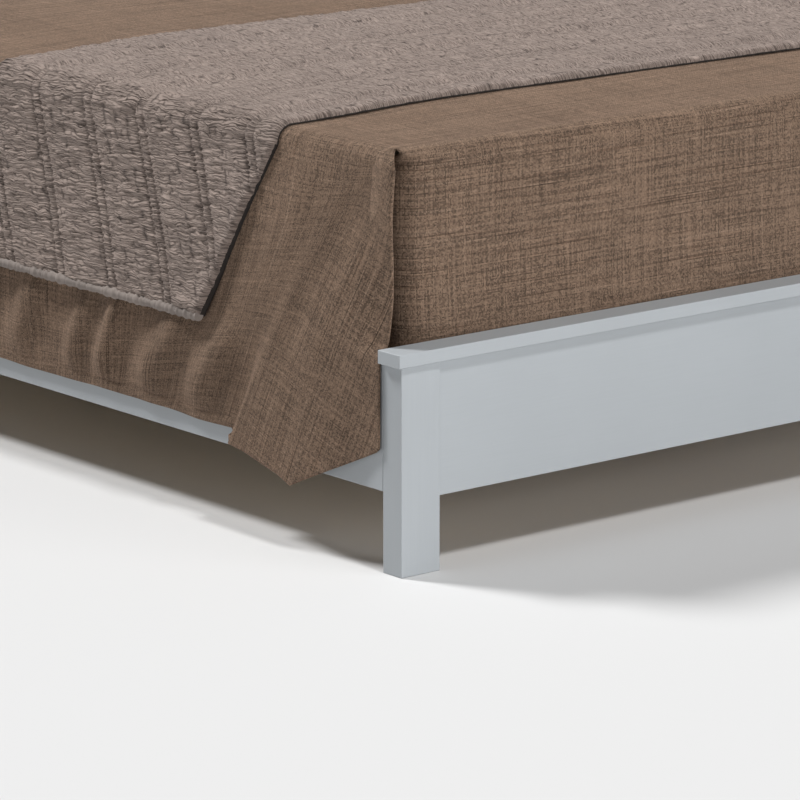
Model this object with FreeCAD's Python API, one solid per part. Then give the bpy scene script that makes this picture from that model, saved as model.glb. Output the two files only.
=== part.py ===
"""Storage platform bed with a lifting slatted platform, mattress, bedspread and quilt.

Units are millimetres. X runs across the bed, -Y is the foot, +Y the head, +Z is up.
The origin lies on the floor, under the middle of the bed's outline.
"""
import math
import os

import FreeCAD
import Part

V = FreeCAD.Vector

# Mattress
mattress_width = 1524.0
mattress_length = 2032.0
mattress_thickness = 318.0
mattress_crown = 10.0
mattress_edge_radius = 22.0
mattress_side_hollow = 5.0
mattress_side_gap = 12.0
mattress_foot_gap = 15.0
mattress_head_gap = 28.0

# Legs, posts, panels and caps
leg_width = 75.0
leg_depth = 44.0
cap_top = 345.0
cap_thickness = 21.0
cap_front_overhang = 7.5
cap_end_overhang = 10.0
head_top = 1180.0
panel_thickness = 18.0
panel_recess = 4.0
panel_bottom = 116.0
panel_groove = 10.0
edge_ease = 1.5

# Side rails and what carries the storage floor
rail_thickness = 22.0
rail_bottom = 126.0
ledger_height = 20.0
ledger_depth = 20.0
cleat_reach = 20.0
floor_board_thickness = 9.0
floor_board_gap = 1.0
floor_board_count = 3
centre_beam_width = 60.0
centre_beam_height = 30.0
centre_leg_side = 44.0
centre_leg_glide_radius = 14.0
centre_leg_glide_height = 6.0
centre_leg_shares = (0.36, 0.72)

# Corner brackets
bracket_flange = 38.0
bracket_height = 70.0
bracket_thickness = 3.0
bracket_above_floor = 24.0
screw_radius = 3.0
screw_length = 16.0
screw_head_radius = 6.0
screw_head_height = 3.0
screw_inset = 16.0

# Lifting platform
deck_below_rail_top = 9.0
tube_side = 30.0
tube_wall = 2.0
slat_width = 70.0
slat_thickness = 12.0
slat_count = 13
slat_end_gap = 1.0
holder_base = 2.0
holder_wall = 3.0
holder_length = 60.0
rest_rail_height = 30.0
rest_rail_bearing = 16.0
retainer_radius = 5.0
retainer_width = 560.0
retainer_rise = 110.0
strap_width = 40.0
strap_thickness = 2.0
strap_loop_depth = 6.5
strap_rise = 20.0
strap_tab_height = 26.0

# Lift mechanism: pivots are given from the mattress's head end and from the rail's bottom edge
rear_arm_foot_from_head = 653.0
rear_arm_foot_height = 48.0
rear_arm_top_from_head = 196.0
rear_arm_top_height = 55.0
front_arm_foot_from_head = 504.0
front_arm_foot_height = 158.0
front_arm_top_from_head = 121.0
front_arm_top_height = 138.0
strut_foot_from_head = 100.0
strut_foot_height = 81.0
strut_ear_along = 28.0
strut_ear_above = 68.0
arm_radius = 12.0
arm_thickness = 5.0
layer_gap = 0.5
base_plate_thickness = 3.0
base_plate_margin = 16.0
platform_plate_thickness = 4.0
platform_plate_margin = 16.0
pin_radius = 6.0
pin_clearance = 0.05
open_pin_radius = 5.0
open_pin_clearance = 1.5
strut_axis_from_tube = 11.5
strut_cylinder_radius = 9.0
strut_cylinder_length = 335.0
strut_rod_radius = 4.0
strut_rod_clearance = 0.4
strut_rod_length = 320.0
strut_eye_radius = 11.0
strut_eye_thickness = 8.0
strut_stud_radius = 4.0
strut_neck = 14.0

# Bedspread
cloth_thickness = 3.0
cloth_clearance = 0.4
corner_lean = 8.0
drape_foot_setback = 3.5
drape_over_rail = 3.0
drape_rail_rise = 6.0
drape_bend_height = 21.0
drape_bend_inset = 12.0
drape_upper_drop = 130.0
drape_knee_height = 245.0
drape_hem_height = 152.0
drape_hem_reach = 9.0
fold_pitch = 178.0
fold_depth = 13.0
fold_knee_share = 0.4
flap_tip_from_foot = 201.0
flap_tip_height = 100.0
flap_foot_height = 190.0
flap_end_from_foot = 346.0
flap_end_height = 126.0
flap_return = 14.0
flap_swell = 17.0
flap_foot_swell = 2.0

# Quilt
quilt_thickness = 9.0
quilt_clearance = 0.4
quilt_foot_from_foot = 292.0
quilt_corner_from_foot = 446.0
quilt_width = 760.0
quilt_hem_height = 314.0
quilt_hem_reach = 6.0
quilt_station_count = 5

overrun = 5.0

# Heights
rail_top = cap_top - cap_thickness
deck_top = rail_top - deck_below_rail_top
tube_top = deck_top - slat_thickness - holder_base
tube_bottom = tube_top - tube_side
ledger_top = rail_bottom + ledger_height
floor_top = ledger_top + floor_board_thickness
mattress_bottom = deck_top + cloth_clearance
mattress_top = mattress_bottom + mattress_thickness

# Places across the bed, measured from the middle
mattress_half = mattress_width / 2
rail_inner = mattress_half + mattress_side_gap
rail_outer = rail_inner + rail_thickness
leg_inner = rail_outer - leg_width
cap_half = rail_outer + cap_end_overhang
base_plate_face = rail_inner - base_plate_thickness
front_arm_outer = base_plate_face - layer_gap
front_arm_inner = front_arm_outer - arm_thickness
rear_arm_outer = front_arm_inner - layer_gap
rear_arm_inner = rear_arm_outer - arm_thickness
platform_plate_outer = rear_arm_inner - layer_gap
tube_outer = platform_plate_outer - platform_plate_thickness
tube_inner = tube_outer - tube_side
strut_axis = tube_outer - strut_axis_from_tube

# Places along the bed
inside_length = mattress_foot_gap + mattress_length + mattress_head_gap
total_length = cap_front_overhang + leg_depth + inside_length + leg_depth
foot_front = cap_front_overhang - total_length / 2
foot_back = foot_front + leg_depth
foot_panel_front = foot_front + panel_recess
foot_panel_back = foot_panel_front + panel_thickness
mattress_foot = foot_back + mattress_foot_gap
mattress_head = mattress_foot + mattress_length
head_front = mattress_head + mattress_head_gap
head_back = head_front + leg_depth
head_panel_front = head_front + panel_recess
head_panel_back = head_panel_front + panel_thickness


def pivot(from_head, height):
    """Place (y, z) of a pivot given from the mattress's head end and the rail's bottom edge."""
    return (mattress_head - from_head, rail_bottom + height)


rear_arm_foot = pivot(rear_arm_foot_from_head, rear_arm_foot_height)
rear_arm_top = pivot(rear_arm_top_from_head, rear_arm_top_height)
front_arm_foot = pivot(front_arm_foot_from_head, front_arm_foot_height)
front_arm_top = pivot(front_arm_top_from_head, front_arm_top_height)
strut_foot = pivot(strut_foot_from_head, strut_foot_height)
strut_head = (rear_arm_foot[0] + strut_ear_along, rear_arm_foot[1] + strut_ear_above)


def block(x0, x1, y0, y1, z0, z1):
    """Box between two corners."""
    return Part.makeBox(x1 - x0, y1 - y0, z1 - z0, V(x0, y0, z0))


def eased(shape, radius):
    """Box with all its edges rounded."""
    return shape.makeFillet(radius, shape.Edges)


def mirrored(shape):
    """The same piece on the other side of the bed."""
    return shape.mirror(V(0, 0, 0), V(1, 0, 0))


def save(name, *solids):
    """Write one node, a single solid or a group of separate ones."""
    shape = solids[0] if len(solids) == 1 else Part.makeCompound(list(solids))
    shape.exportStep("parts/" + name + ".step")
    print(name, len(shape.Solids), round(shape.Volume / 1000), shape.isValid())


def save_pair(name, left):
    """Write a piece of the left side (-X) and its twin on the right."""
    save(name + "_left", left)
    save(name + "_right", mirrored(left))


def pin_along_x(x0, x1, place, radius):
    """Round pin between two planes of constant x."""
    return Part.makeCylinder(radius, x1 - x0, V(x0, place[0], place[1]), V(1, 0, 0))


def prism_along_x(x0, x1, places):
    """Plate between two planes of constant x with a straight-sided outline of (y, z) places."""
    points = [V(x0, y, z) for y, z in places]
    return Part.Face(Part.makePolygon(points + points[:1])).extrude(V(x1 - x0, 0, 0))


def round_ended_bar(x0, x1, first, second, radius):
    """Flat bar with round ends about two (y, z) places."""
    dy, dz = second[0] - first[0], second[1] - first[1]
    length = math.hypot(dy, dz)
    uy, uz = dy / length, dz / length

    def at(place, along, across):
        return V(x0, place[0] + along * uy - across * uz, place[1] + along * uz + across * uy)

    first_left, first_right = at(first, 0, radius), at(first, 0, -radius)
    second_left, second_right = at(second, 0, radius), at(second, 0, -radius)
    edges = [
        Part.LineSegment(first_right, second_right).toShape(),
        Part.Arc(second_right, at(second, radius, 0), second_left).toShape(),
        Part.LineSegment(second_left, first_left).toShape(),
        Part.Arc(first_left, at(first, -radius, 0), first_right).toShape(),
    ]
    return Part.Face(Part.Wire(edges)).extrude(V(x1 - x0, 0, 0))


def tube_along_x(x0, x1, y0, z0, side):
    """Square tube across the bed."""
    inner = side - tube_wall
    core = block(x0 - overrun, x1 + overrun, y0 + tube_wall, y0 + inner, z0 + tube_wall, z0 + inner)
    return block(x0, x1, y0, y0 + side, z0, z0 + side).cut(core)


def tube_along_y(x0, y0, y1, z0, side):
    """Square tube along the bed."""
    inner = side - tube_wall
    core = block(x0 + tube_wall, x0 + inner, y0 - overrun, y1 + overrun, z0 + tube_wall, z0 + inner)
    return block(x0, x0 + side, y0, y1, z0, z0 + side).cut(core)


def bracket_screws():
    """Left-side screws as (head seat, direction) pairs, two to each flange of the two corner brackets."""
    seats = []
    low = floor_top + bracket_above_floor
    rows = (low + screw_inset, low + bracket_height - screw_inset)
    for corner, inward in ((foot_back, 1), (head_front, -1)):
        out = bracket_flange - screw_inset
        for z in rows:
            seats.append((V(-rail_inner + out, corner + inward * bracket_thickness, z), V(0, -inward, 0)))
            seats.append((V(-rail_inner + bracket_thickness, corner + inward * out, z), V(-1, 0, 0)))
    return seats


def screw(seat, direction):
    """Pan-head screw whose head lies on the seat."""
    head = Part.makeCylinder(screw_head_radius, screw_head_height, seat, direction * -1)
    return head.fuse(Part.makeCylinder(screw_radius, screw_length, seat, direction)).removeSplitter()


def drilled(shape):
    """A wooden piece with the bracket screws' holes in it, on both sides of the bed."""
    for seat, direction in bracket_screws():
        hole = Part.makeCylinder(screw_radius, screw_length, seat, direction)
        shape = shape.cut(hole).cut(mirrored(hole))
    return shape


def upright(y0, y1, top, groove_front, groove_back):
    """Left leg or post with the groove for its panel."""
    body = eased(block(-rail_outer, -leg_inner, y0, y1, 0, top), edge_ease)
    deep = -leg_inner - panel_groove
    groove = block(deep, -leg_inner + overrun, groove_front, groove_back, panel_bottom, top)
    return drilled(body.cut(groove))


def cap_board(y0, y1, top):
    """Cap across the top of a board end."""
    return eased(block(-cap_half, cap_half, y0, y1, top - cap_thickness, top), edge_ease)


def footboard():
    """Foot legs, panel, cap, and the rails behind the panel."""
    save_pair("foot_leg", upright(foot_front, foot_back, rail_top, foot_panel_front, foot_panel_back))
    reach = leg_inner + panel_groove
    save("foot_panel", block(-reach, reach, foot_panel_front, foot_panel_back, panel_bottom, rail_top))
    save("foot_cap", cap_board(foot_front - cap_front_overhang, foot_back, cap_top))
    rest_top = tube_bottom - cloth_clearance
    rest_bottom = rest_top - rest_rail_height
    rest_back = mattress_foot + rest_rail_bearing
    rest_rail = block(-leg_inner, leg_inner, foot_panel_back, rest_back, rest_bottom, rest_top)
    save("foot_rest_rail", rest_rail)
    cleat_back = foot_back + cleat_reach
    save("foot_cleat", block(-leg_inner, leg_inner, foot_panel_back, cleat_back, rail_bottom, ledger_top))


def headboard():
    """Head posts, panel, cap and floor cleat."""
    post_top = head_top - cap_thickness
    save_pair("head_post", upright(head_front, head_back, post_top, head_panel_front, head_panel_back))
    reach = leg_inner + panel_groove
    save("head_panel", block(-reach, reach, head_panel_front, head_panel_back, panel_bottom, post_top))
    save("head_cap", cap_board(head_front - cap_front_overhang, head_back, head_top))
    cleat_front = head_front - cleat_reach
    save("head_cleat", block(-leg_inner, leg_inner, cleat_front, head_panel_front, rail_bottom, ledger_top))


def side_rails():
    """Rails with their ledgers, the corner brackets and their screws."""
    rail = eased(block(-rail_outer, -rail_inner, foot_back, head_front, rail_bottom, rail_top), edge_ease)
    save_pair("side_rail", drilled(rail))
    ledger = block(-rail_inner, -rail_inner + ledger_depth, foot_back, head_front, rail_bottom, ledger_top)
    save_pair("rail_ledger", ledger)
    low = floor_top + bracket_above_floor
    high = low + bracket_height
    flange_end, skin = bracket_flange - rail_inner, bracket_thickness - rail_inner
    brackets = []
    for corner, inward in ((foot_back, 1), (head_front, -1)):
        near, thin, far = (corner + inward * reach for reach in (0, bracket_thickness, bracket_flange))
        on_leg = block(-rail_inner, flange_end, min(near, thin), max(near, thin), low, high)
        on_rail = block(-rail_inner, skin, min(near, far), max(near, far), low, high)
        angle = drilled(on_leg.fuse(on_rail).removeSplitter())
        brackets += [angle, mirrored(angle)]
    save("corner_brackets", *brackets)
    screws = [screw(seat, direction) for seat, direction in bracket_screws()]
    save("bracket_screws", *(screws + [mirrored(one) for one in screws]))


def storage_floor():
    """Floor boards of the storage well, the beam under them and its legs."""
    beam_bottom = ledger_top - centre_beam_height
    beam_half = centre_beam_width / 2
    beam = block(-beam_half, beam_half, foot_panel_back, head_panel_front, beam_bottom, ledger_top)
    foot_notch = (foot_panel_back, foot_back + cleat_reach)
    head_notch = (head_front - cleat_reach, head_panel_front)
    for y0, y1 in (foot_notch, head_notch):
        beam = beam.cut(block(-beam_half, beam_half, y0, y1, rail_bottom, ledger_top))
    save("centre_beam", beam)
    leg_half = centre_leg_side / 2
    glides = []
    for name, share in zip(("foot", "head"), centre_leg_shares):
        y = foot_back + inside_length * share
        leg = block(-leg_half, leg_half, y - leg_half, y + leg_half, centre_leg_glide_height, beam_bottom)
        save("centre_leg_" + name, leg)
        glides.append(Part.makeCylinder(centre_leg_glide_radius, centre_leg_glide_height, V(0, y, 0)))
    save("centre_leg_glides", *glides)
    board_half = rail_inner - floor_board_gap
    pitch = (inside_length - floor_board_gap) / floor_board_count
    for index, name in enumerate(("foot", "middle", "head")):
        y0 = foot_back + floor_board_gap + pitch * index
        y1 = y0 + pitch - floor_board_gap
        save("floor_board_" + name, block(-board_half, board_half, y0, y1, ledger_top, floor_top))


def lifting_platform():
    """Steel frame, slats in their holders, mattress retainer and pull strap."""
    side = tube_along_y(-tube_outer, mattress_foot, mattress_head, tube_bottom, tube_side)
    save_pair("platform_side", side)
    save("platform_foot_bar", tube_along_x(-tube_inner, tube_inner, mattress_foot, tube_bottom, tube_side))
    head_bar_front = mattress_head - tube_side
    save("platform_head_bar", tube_along_x(-tube_inner, tube_inner, head_bar_front, tube_bottom, tube_side))
    spine_foot, spine_bottom = mattress_foot + tube_side, tube_bottom + holder_base
    spine = tube_along_y(-tube_side / 2, spine_foot, head_bar_front, spine_bottom, tube_side)
    save("platform_spine", spine)
    slat_bottom = tube_top + holder_base
    slat_half = tube_outer - holder_wall - slat_end_gap
    holder_half_width = slat_width / 2 + holder_wall
    holder_end = holder_length - tube_outer
    first = mattress_foot + holder_half_width
    pitch = (mattress_length - 2 * holder_half_width) / (slat_count - 1)
    slats, holders = [], []
    for index in range(slat_count):
        y = first + pitch * index
        y0, y1 = y - slat_width / 2, y + slat_width / 2
        slats.append(block(-slat_half, slat_half, y0, y1, slat_bottom, deck_top))
        tray = block(-tube_outer, holder_end, y0 - holder_wall, y1 + holder_wall, tube_top, deck_top)
        pocket_start = holder_wall - tube_outer
        pocket = block(pocket_start, holder_end + overrun, y0, y1, slat_bottom, deck_top + overrun)
        tray = tray.cut(pocket)
        holders += [tray, mirrored(tray)]
    save("slats", *slats)
    save("slat_holders", *holders)
    save("mattress_retainer", retainer())
    save("pull_strap", pull_strap())


def retainer():
    """Round bar loop behind the mattress, standing on the head bar."""
    y = mattress_head + retainer_radius
    half, top = retainer_width / 2, deck_top + retainer_rise
    height = top - tube_bottom
    loop = Part.makeCylinder(retainer_radius, retainer_width, V(-half, y, top), V(1, 0, 0))
    for x in (-half, half):
        post = Part.makeCylinder(retainer_radius, height, V(x, y, tube_bottom))
        knuckle = Part.makeSphere(retainer_radius, V(x, y, top))
        loop = loop.fuse(post).fuse(knuckle)
    return loop.removeSplitter()


def pull_strap():
    """Webbing loop on the front of the foot bar, reached from above behind the cap."""
    half = strap_width / 2
    back = mattress_foot
    tab_bottom = tube_top - strap_tab_height
    tab = block(-half, half, back - strap_thickness, back, tab_bottom, tube_top)
    front = back - cloth_clearance - cloth_thickness - cloth_clearance
    top = deck_top + strap_rise
    near = front - strap_loop_depth
    loop = block(-half, half, near, front, tab_bottom, top)
    hole_bottom = tab_bottom + strap_thickness
    hole_top = top - strap_thickness
    hole = block(-half, half, near + strap_thickness, front - strap_thickness, hole_bottom, hole_top)
    bridge = block(-half, half, near, back, tab_bottom, hole_bottom)
    return loop.cut(hole).fuse([tab, bridge]).removeSplitter()


def lift_mechanism():
    """Four-bar lift with a gas strut, on the inside of each rail."""
    low, high = rear_arm_foot[1] - base_plate_margin, front_arm_foot[1] + base_plate_margin
    foot_end, head_end = rear_arm_foot[0] - base_plate_margin, strut_foot[0] + base_plate_margin
    save_pair("lift_base_plate", block(-rail_inner, -base_plate_face, foot_end, head_end, low, high))
    save_pair("rear_arm", rear_arm())
    save_pair("front_arm", front_arm())
    save_pair("platform_plate", platform_plate())
    base_pins = [
        pin_along_x(-base_plate_face, -rear_arm_inner, rear_arm_foot, pin_radius),
        pin_along_x(-base_plate_face, -front_arm_inner, front_arm_foot, pin_radius),
        pin_along_x(-base_plate_face, -strut_axis + strut_eye_thickness / 2, strut_foot, strut_stud_radius),
    ]
    save("base_pivot_pins", *(base_pins + [mirrored(pin) for pin in base_pins]))
    platform_pins = [
        pin_along_x(-rear_arm_outer, -platform_plate_outer, rear_arm_top, pin_radius),
        pin_along_x(-front_arm_outer, -platform_plate_outer, front_arm_top, open_pin_radius),
    ]
    save("platform_pivot_pins", *(platform_pins + [mirrored(pin) for pin in platform_pins]))
    cylinder, rod = gas_strut()
    save_pair("strut_cylinder", cylinder)
    save_pair("strut_rod", rod)


def rear_arm():
    """Main arm with the ear that the gas strut pushes."""
    outer, inner = -rear_arm_outer, -rear_arm_inner
    arm = round_ended_bar(outer, inner, rear_arm_foot, rear_arm_top, arm_radius)
    ear = round_ended_bar(outer, inner, rear_arm_foot, strut_head, arm_radius)
    arm = arm.fuse(ear).removeSplitter()
    for place in (rear_arm_foot, rear_arm_top):
        arm = arm.cut(pin_along_x(outer - overrun, inner + overrun, place, pin_radius + pin_clearance))
    return arm


def front_arm():
    """Steering arm, with an easy hole at its upper pivot."""
    outer, inner = -front_arm_outer, -front_arm_inner
    arm = round_ended_bar(outer, inner, front_arm_foot, front_arm_top, arm_radius)
    tight, easy = pin_radius + pin_clearance, open_pin_radius + open_pin_clearance
    for place, radius in ((front_arm_foot, tight), (front_arm_top, easy)):
        arm = arm.cut(pin_along_x(outer - overrun, inner + overrun, place, radius))
    return arm


def platform_plate():
    """Plate that ties both arms' upper pivots to the platform's side tube."""
    margin = platform_plate_margin
    (rear_y, rear_z), (front_y, front_z) = rear_arm_top, front_arm_top
    outline = [
        (rear_y - margin, rear_z - margin),
        (rear_y + margin, rear_z - margin),
        (front_y + margin, front_z - margin),
        (front_y + margin, tube_top),
        (rear_y - 2 * margin, tube_top),
        (rear_y - 2 * margin, tube_bottom),
    ]
    return prism_along_x(-platform_plate_outer, -tube_outer, outline)


def gas_strut():
    """Cylinder that swings on the base plate's stud, and the rod that slides in it."""
    dy, dz = strut_head[0] - strut_foot[0], strut_head[1] - strut_foot[1]
    length = math.hypot(dy, dz)
    along = V(0, dy / length, dz / length)
    foot = V(-strut_axis, strut_foot[0], strut_foot[1])
    eye_low, eye_high = -strut_axis - strut_eye_thickness / 2, -strut_axis + strut_eye_thickness / 2
    eye = pin_along_x(eye_low, eye_high, strut_foot, strut_eye_radius)
    barrel_length = strut_cylinder_length - strut_neck
    barrel = Part.makeCylinder(strut_cylinder_radius, barrel_length, foot + along * strut_neck, along)
    neck_length, neck_start = strut_neck + strut_eye_radius, foot + along * strut_stud_radius
    neck = Part.makeCylinder(strut_rod_radius, neck_length, neck_start, along)
    rod_start = length - strut_rod_length
    bore_start = rod_start - strut_neck
    bore_length = strut_cylinder_length - bore_start + overrun
    bore_radius = strut_rod_radius + strut_rod_clearance
    bore = Part.makeCylinder(bore_radius, bore_length, foot + along * bore_start, along)
    hole_radius = strut_stud_radius + pin_clearance
    stud_hole = pin_along_x(eye_low - overrun, eye_high + overrun, strut_foot, hole_radius)
    cylinder = eye.fuse([neck, barrel]).cut(bore).cut(stud_hole)
    shaft = Part.makeCylinder(strut_rod_radius, strut_rod_length, foot + along * rod_start, along)
    head_eye = pin_along_x(eye_low, eye_high, strut_head, strut_eye_radius)
    stud = pin_along_x(-rear_arm_inner + layer_gap, -strut_axis, strut_head, strut_stud_radius)
    return cylinder, shaft.fuse([head_eye, stud])


def mattress_outline(inset, y):
    """Cross-section of the mattress at y, drawn in by an inset, with a crowned top and hollow sides."""
    half = mattress_half - inset
    low, high = mattress_bottom + inset, mattress_top - inset
    radius = mattress_edge_radius - inset
    middle = (low + high) / 2
    waist = half - mattress_side_hollow

    def edge(*points):
        places = [V(x, y, z) for x, z in points]
        return Part.LineSegment(*places).toShape() if len(places) == 2 else Part.Arc(*places).toShape()

    near = radius * (1 - math.sqrt(0.5))
    edges = [
        edge((-half + radius, low), (half - radius, low)),
        edge((half - radius, low), (half - near, low + near), (half, low + radius)),
        edge((half, low + radius), (waist, middle), (half, high - radius)),
        edge((half, high - radius), (half - near, high - near), (half - radius, high)),
        edge((half - radius, high), (0, high + mattress_crown), (-half + radius, high)),
        edge((-half + radius, high), (-half + near, high - near), (-half, high - radius)),
        edge((-half, high - radius), (-waist, middle), (-half, low + radius)),
        edge((-half, low + radius), (-half + near, low + near), (-half + radius, low)),
    ]
    return Part.Wire(edges)


def mattress():
    """Crowned mattress with eased ends."""
    ease = mattress_edge_radius / 2
    stations = [(ease, mattress_foot), (0, mattress_foot + ease)]
    stations += [(0, mattress_head - ease), (ease, mattress_head)]
    outlines = [mattress_outline(inset, y) for inset, y in stations]
    save("mattress", Part.makeLoft(outlines, True, True))


def hem_height(y):
    """Height of the bedspread's side hem above the floor."""
    d = y - foot_back
    if d <= flap_tip_from_foot:
        share = d / flap_tip_from_foot
        return flap_foot_height + (flap_tip_height - flap_foot_height) * share
    if d <= flap_end_from_foot:
        share = (d - flap_tip_from_foot) / (flap_end_from_foot - flap_tip_from_foot)
        return flap_tip_height + (flap_end_height - flap_tip_height) * share
    return drape_hem_height


def fold_reach(y):
    """How far a hanging fold stands out at the hem."""
    d = y - foot_back
    if d <= flap_end_from_foot:
        return flap_foot_swell + (flap_swell - flap_foot_swell) * d / flap_end_from_foot
    turns = (d - flap_end_from_foot - flap_return) / fold_pitch
    return fold_depth * (1 - math.cos(2 * math.pi * turns)) / 2


def drape_side(y):
    """Outer (x, z) places of the hanging side at y, from the end of the flat top down to the hem."""
    top = mattress_top + cloth_clearance + cloth_thickness
    shoulder = mattress_half + cloth_clearance + cloth_thickness
    shoulder_end = mattress_top - mattress_edge_radius
    bend = rail_top + drape_bend_height
    over = rail_outer + drape_over_rail + cloth_thickness
    reach = fold_reach(y)
    knee = over + fold_knee_share * reach
    lean = corner_lean * min(1, (y - foot_back) / flap_end_from_foot)
    return [
        (mattress_half - mattress_edge_radius, top),
        (shoulder, shoulder_end),
        (shoulder + lean, shoulder_end - drape_upper_drop),
        (over - drape_bend_inset + lean, bend),
        (over, rail_top + drape_rail_rise),
        (knee, drape_knee_height),
        (over + drape_hem_reach + reach, hem_height(y)),
    ]


def straight(start, end):
    """Straight edge between two points."""
    return Part.LineSegment(start, end).toShape()


def across_top(side, y):
    """Edges over the bed from the left shoulder to the right one: round, crowned, round."""
    (flat_end, top), (shoulder, low) = side[:2]
    reach, drop = (shoulder - flat_end) * math.sqrt(0.5), (top - low) * math.sqrt(0.5)
    middle, height = flat_end + reach, low + drop
    left = Part.Arc(V(-shoulder, y, low), V(-middle, y, height), V(-flat_end, y, top)).toShape()
    bow = Part.Arc(V(-flat_end, y, top), V(0, y, top + mattress_crown), V(flat_end, y, top)).toShape()
    right = Part.Arc(V(flat_end, y, top), V(middle, y, height), V(shoulder, y, low)).toShape()
    return [left, bow, right]


def sheet_outline(side, y, thickness):
    """Closed cross-section at y of a sheet that lies over the bed and hangs down both sides."""
    inner = [(side[0][0], side[0][1] - thickness)] + [(x - thickness, z) for x, z in side[1:]]
    edges = []
    for places in (side, inner):
        left = [V(-x, y, z) for x, z in places[:0:-1]]
        right = [V(x, y, z) for x, z in places[1:]]
        edges += [straight(start, end) for start, end in zip(left, left[1:])]
        edges += across_top(places, y)
        edges += [straight(start, end) for start, end in zip(right, right[1:])]
    for sign in (-1, 1):
        (outer_x, outer_z), (inner_x, inner_z) = side[-1], inner[-1]
        edges.append(straight(V(sign * outer_x, y, outer_z), V(sign * inner_x, y, inner_z)))
    return Part.Wire(Part.sortEdges(edges)[0])


def bedspread():
    """Bedspread: over the top, down both sides with its folds and corner flaps, and tucked at the foot."""
    fold_start = foot_back + flap_end_from_foot
    half_folds = math.ceil((mattress_head - fold_start - flap_return) / (fold_pitch / 2))
    step = (mattress_head - fold_start - flap_return) / half_folds
    cloth_front = mattress_foot - cloth_clearance - cloth_thickness
    stations = [cloth_front, foot_back + flap_tip_from_foot / 2, foot_back + flap_tip_from_foot]
    stations += [(foot_back + flap_tip_from_foot + fold_start) / 2, fold_start]
    stations += [fold_start + flap_return + step * index for index in range(half_folds + 1)]
    outlines = [sheet_outline(drape_side(y), y, cloth_thickness) for y in stations]
    cover = Part.makeLoft(outlines, True, True)
    side = drape_side(cloth_front)
    edge_front = foot_back + drape_foot_setback
    corner = []
    for y, drop in ((cloth_front, 0), (edge_front, mattress_edge_radius)):
        points = [(side[1][0], side[1][1] - drop)] + side[2:]
        loop = points + [(x - cloth_thickness, z) for x, z in points[::-1]]
        corner.append(Part.makePolygon([V(-x, y, z) for x, z in loop + loop[:1]]))
    fold = Part.makeLoft(corner, True, True)
    save("bedspread", cover.fuse([fold, mirrored(fold), foot_wall(cloth_front, side)]))


def foot_wall(y, side):
    """Flat part of the bedspread that is tucked down behind the footboard."""
    shoulder, low = side[1]
    places = [(shoulder, low), (shoulder, mattress_bottom), (-shoulder, mattress_bottom), (-shoulder, low)]
    corners = [V(x, y, z) for x, z in places]
    edges = across_top(side, y) + [straight(start, end) for start, end in zip(corners, corners[1:])]
    return Part.Face(Part.Wire(edges)).extrude(V(0, cloth_thickness, 0))


def quilt():
    """Quilt laid across the bed over the bedspread, with its foot edge running back down the side."""
    start = foot_back + quilt_foot_from_foot
    corner = foot_back + quilt_corner_from_foot
    end = start + quilt_width
    step = (end - corner) / (quilt_station_count - 1)
    stations = [start] + [corner + step * index for index in range(quilt_station_count)]
    grow = quilt_clearance + quilt_thickness
    outlines = []
    for y in stations:
        side = drape_side(y)
        top_end, shoulder = (side[0][0], side[0][1] + grow), (side[1][0] + grow, side[1][1])
        slope = (side[4][0] + grow + quilt_hem_reach - shoulder[0]) / (shoulder[1] - quilt_hem_height)
        hem = quilt_hem_height if y >= corner else shoulder[1] - quilt_thickness
        hang = (shoulder[0] + slope * (shoulder[1] - hem), hem)
        outlines.append(sheet_outline([top_end, shoulder, hang], y, quilt_thickness))
    save("quilt", Part.makeLoft(outlines, True, True))


os.makedirs("parts", exist_ok=True)
footboard()
headboard()
side_rails()
storage_floor()
lifting_platform()
lift_mechanism()
mattress()
bedspread()
quilt()
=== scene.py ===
"""Storage platform bed: painted frame, lifting slatted platform, mattress, bedspread and quilt.

Units are metres. X runs across the bed, -Y is the foot, +Y the head, +Z is up.
"""
import logging
import math
from dataclasses import dataclass, field
from enum import Enum
from typing import Sequence

import bmesh
import bpy
import numpy as np
from bpy.types import Material, Node, NodeSocket, NodeTree, Object
from mathutils import Matrix, Vector
from numpy import ndarray as Array


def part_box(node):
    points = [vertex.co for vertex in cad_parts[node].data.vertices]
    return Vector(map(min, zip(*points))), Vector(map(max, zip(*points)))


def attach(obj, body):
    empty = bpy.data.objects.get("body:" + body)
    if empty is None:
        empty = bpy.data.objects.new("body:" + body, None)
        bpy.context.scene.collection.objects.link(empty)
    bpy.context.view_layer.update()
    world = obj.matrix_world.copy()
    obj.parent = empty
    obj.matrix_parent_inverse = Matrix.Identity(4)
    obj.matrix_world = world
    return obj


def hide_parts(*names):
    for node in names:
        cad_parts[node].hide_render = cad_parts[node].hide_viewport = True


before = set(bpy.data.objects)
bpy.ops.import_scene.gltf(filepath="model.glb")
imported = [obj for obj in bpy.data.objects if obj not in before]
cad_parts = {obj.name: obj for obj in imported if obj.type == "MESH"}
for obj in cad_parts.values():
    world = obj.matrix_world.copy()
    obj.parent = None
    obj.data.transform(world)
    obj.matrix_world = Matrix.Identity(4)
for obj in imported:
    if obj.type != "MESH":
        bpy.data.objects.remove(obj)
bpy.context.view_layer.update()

IMAGE_SIDE = 800
SENSOR_WIDTH = 36.0
MM = 0.001
QUARTER_TURN = math.pi / 2
NOISE_RANGE = (0.3, 0.7)

log = logging.getLogger("platform_bed")

Colour = tuple[float, float, float]
Place = tuple[float, float]
Span = tuple[float, float]
Section = dict[str, Array]


class Axis(Enum):
    """Direction in which a board's grain or brush marks run."""

    ACROSS = 0
    ALONG = 1
    UP = 2


class Side(Enum):
    """Side of the bed, as the sign of X."""

    LEFT = -1
    RIGHT = 1


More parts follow.
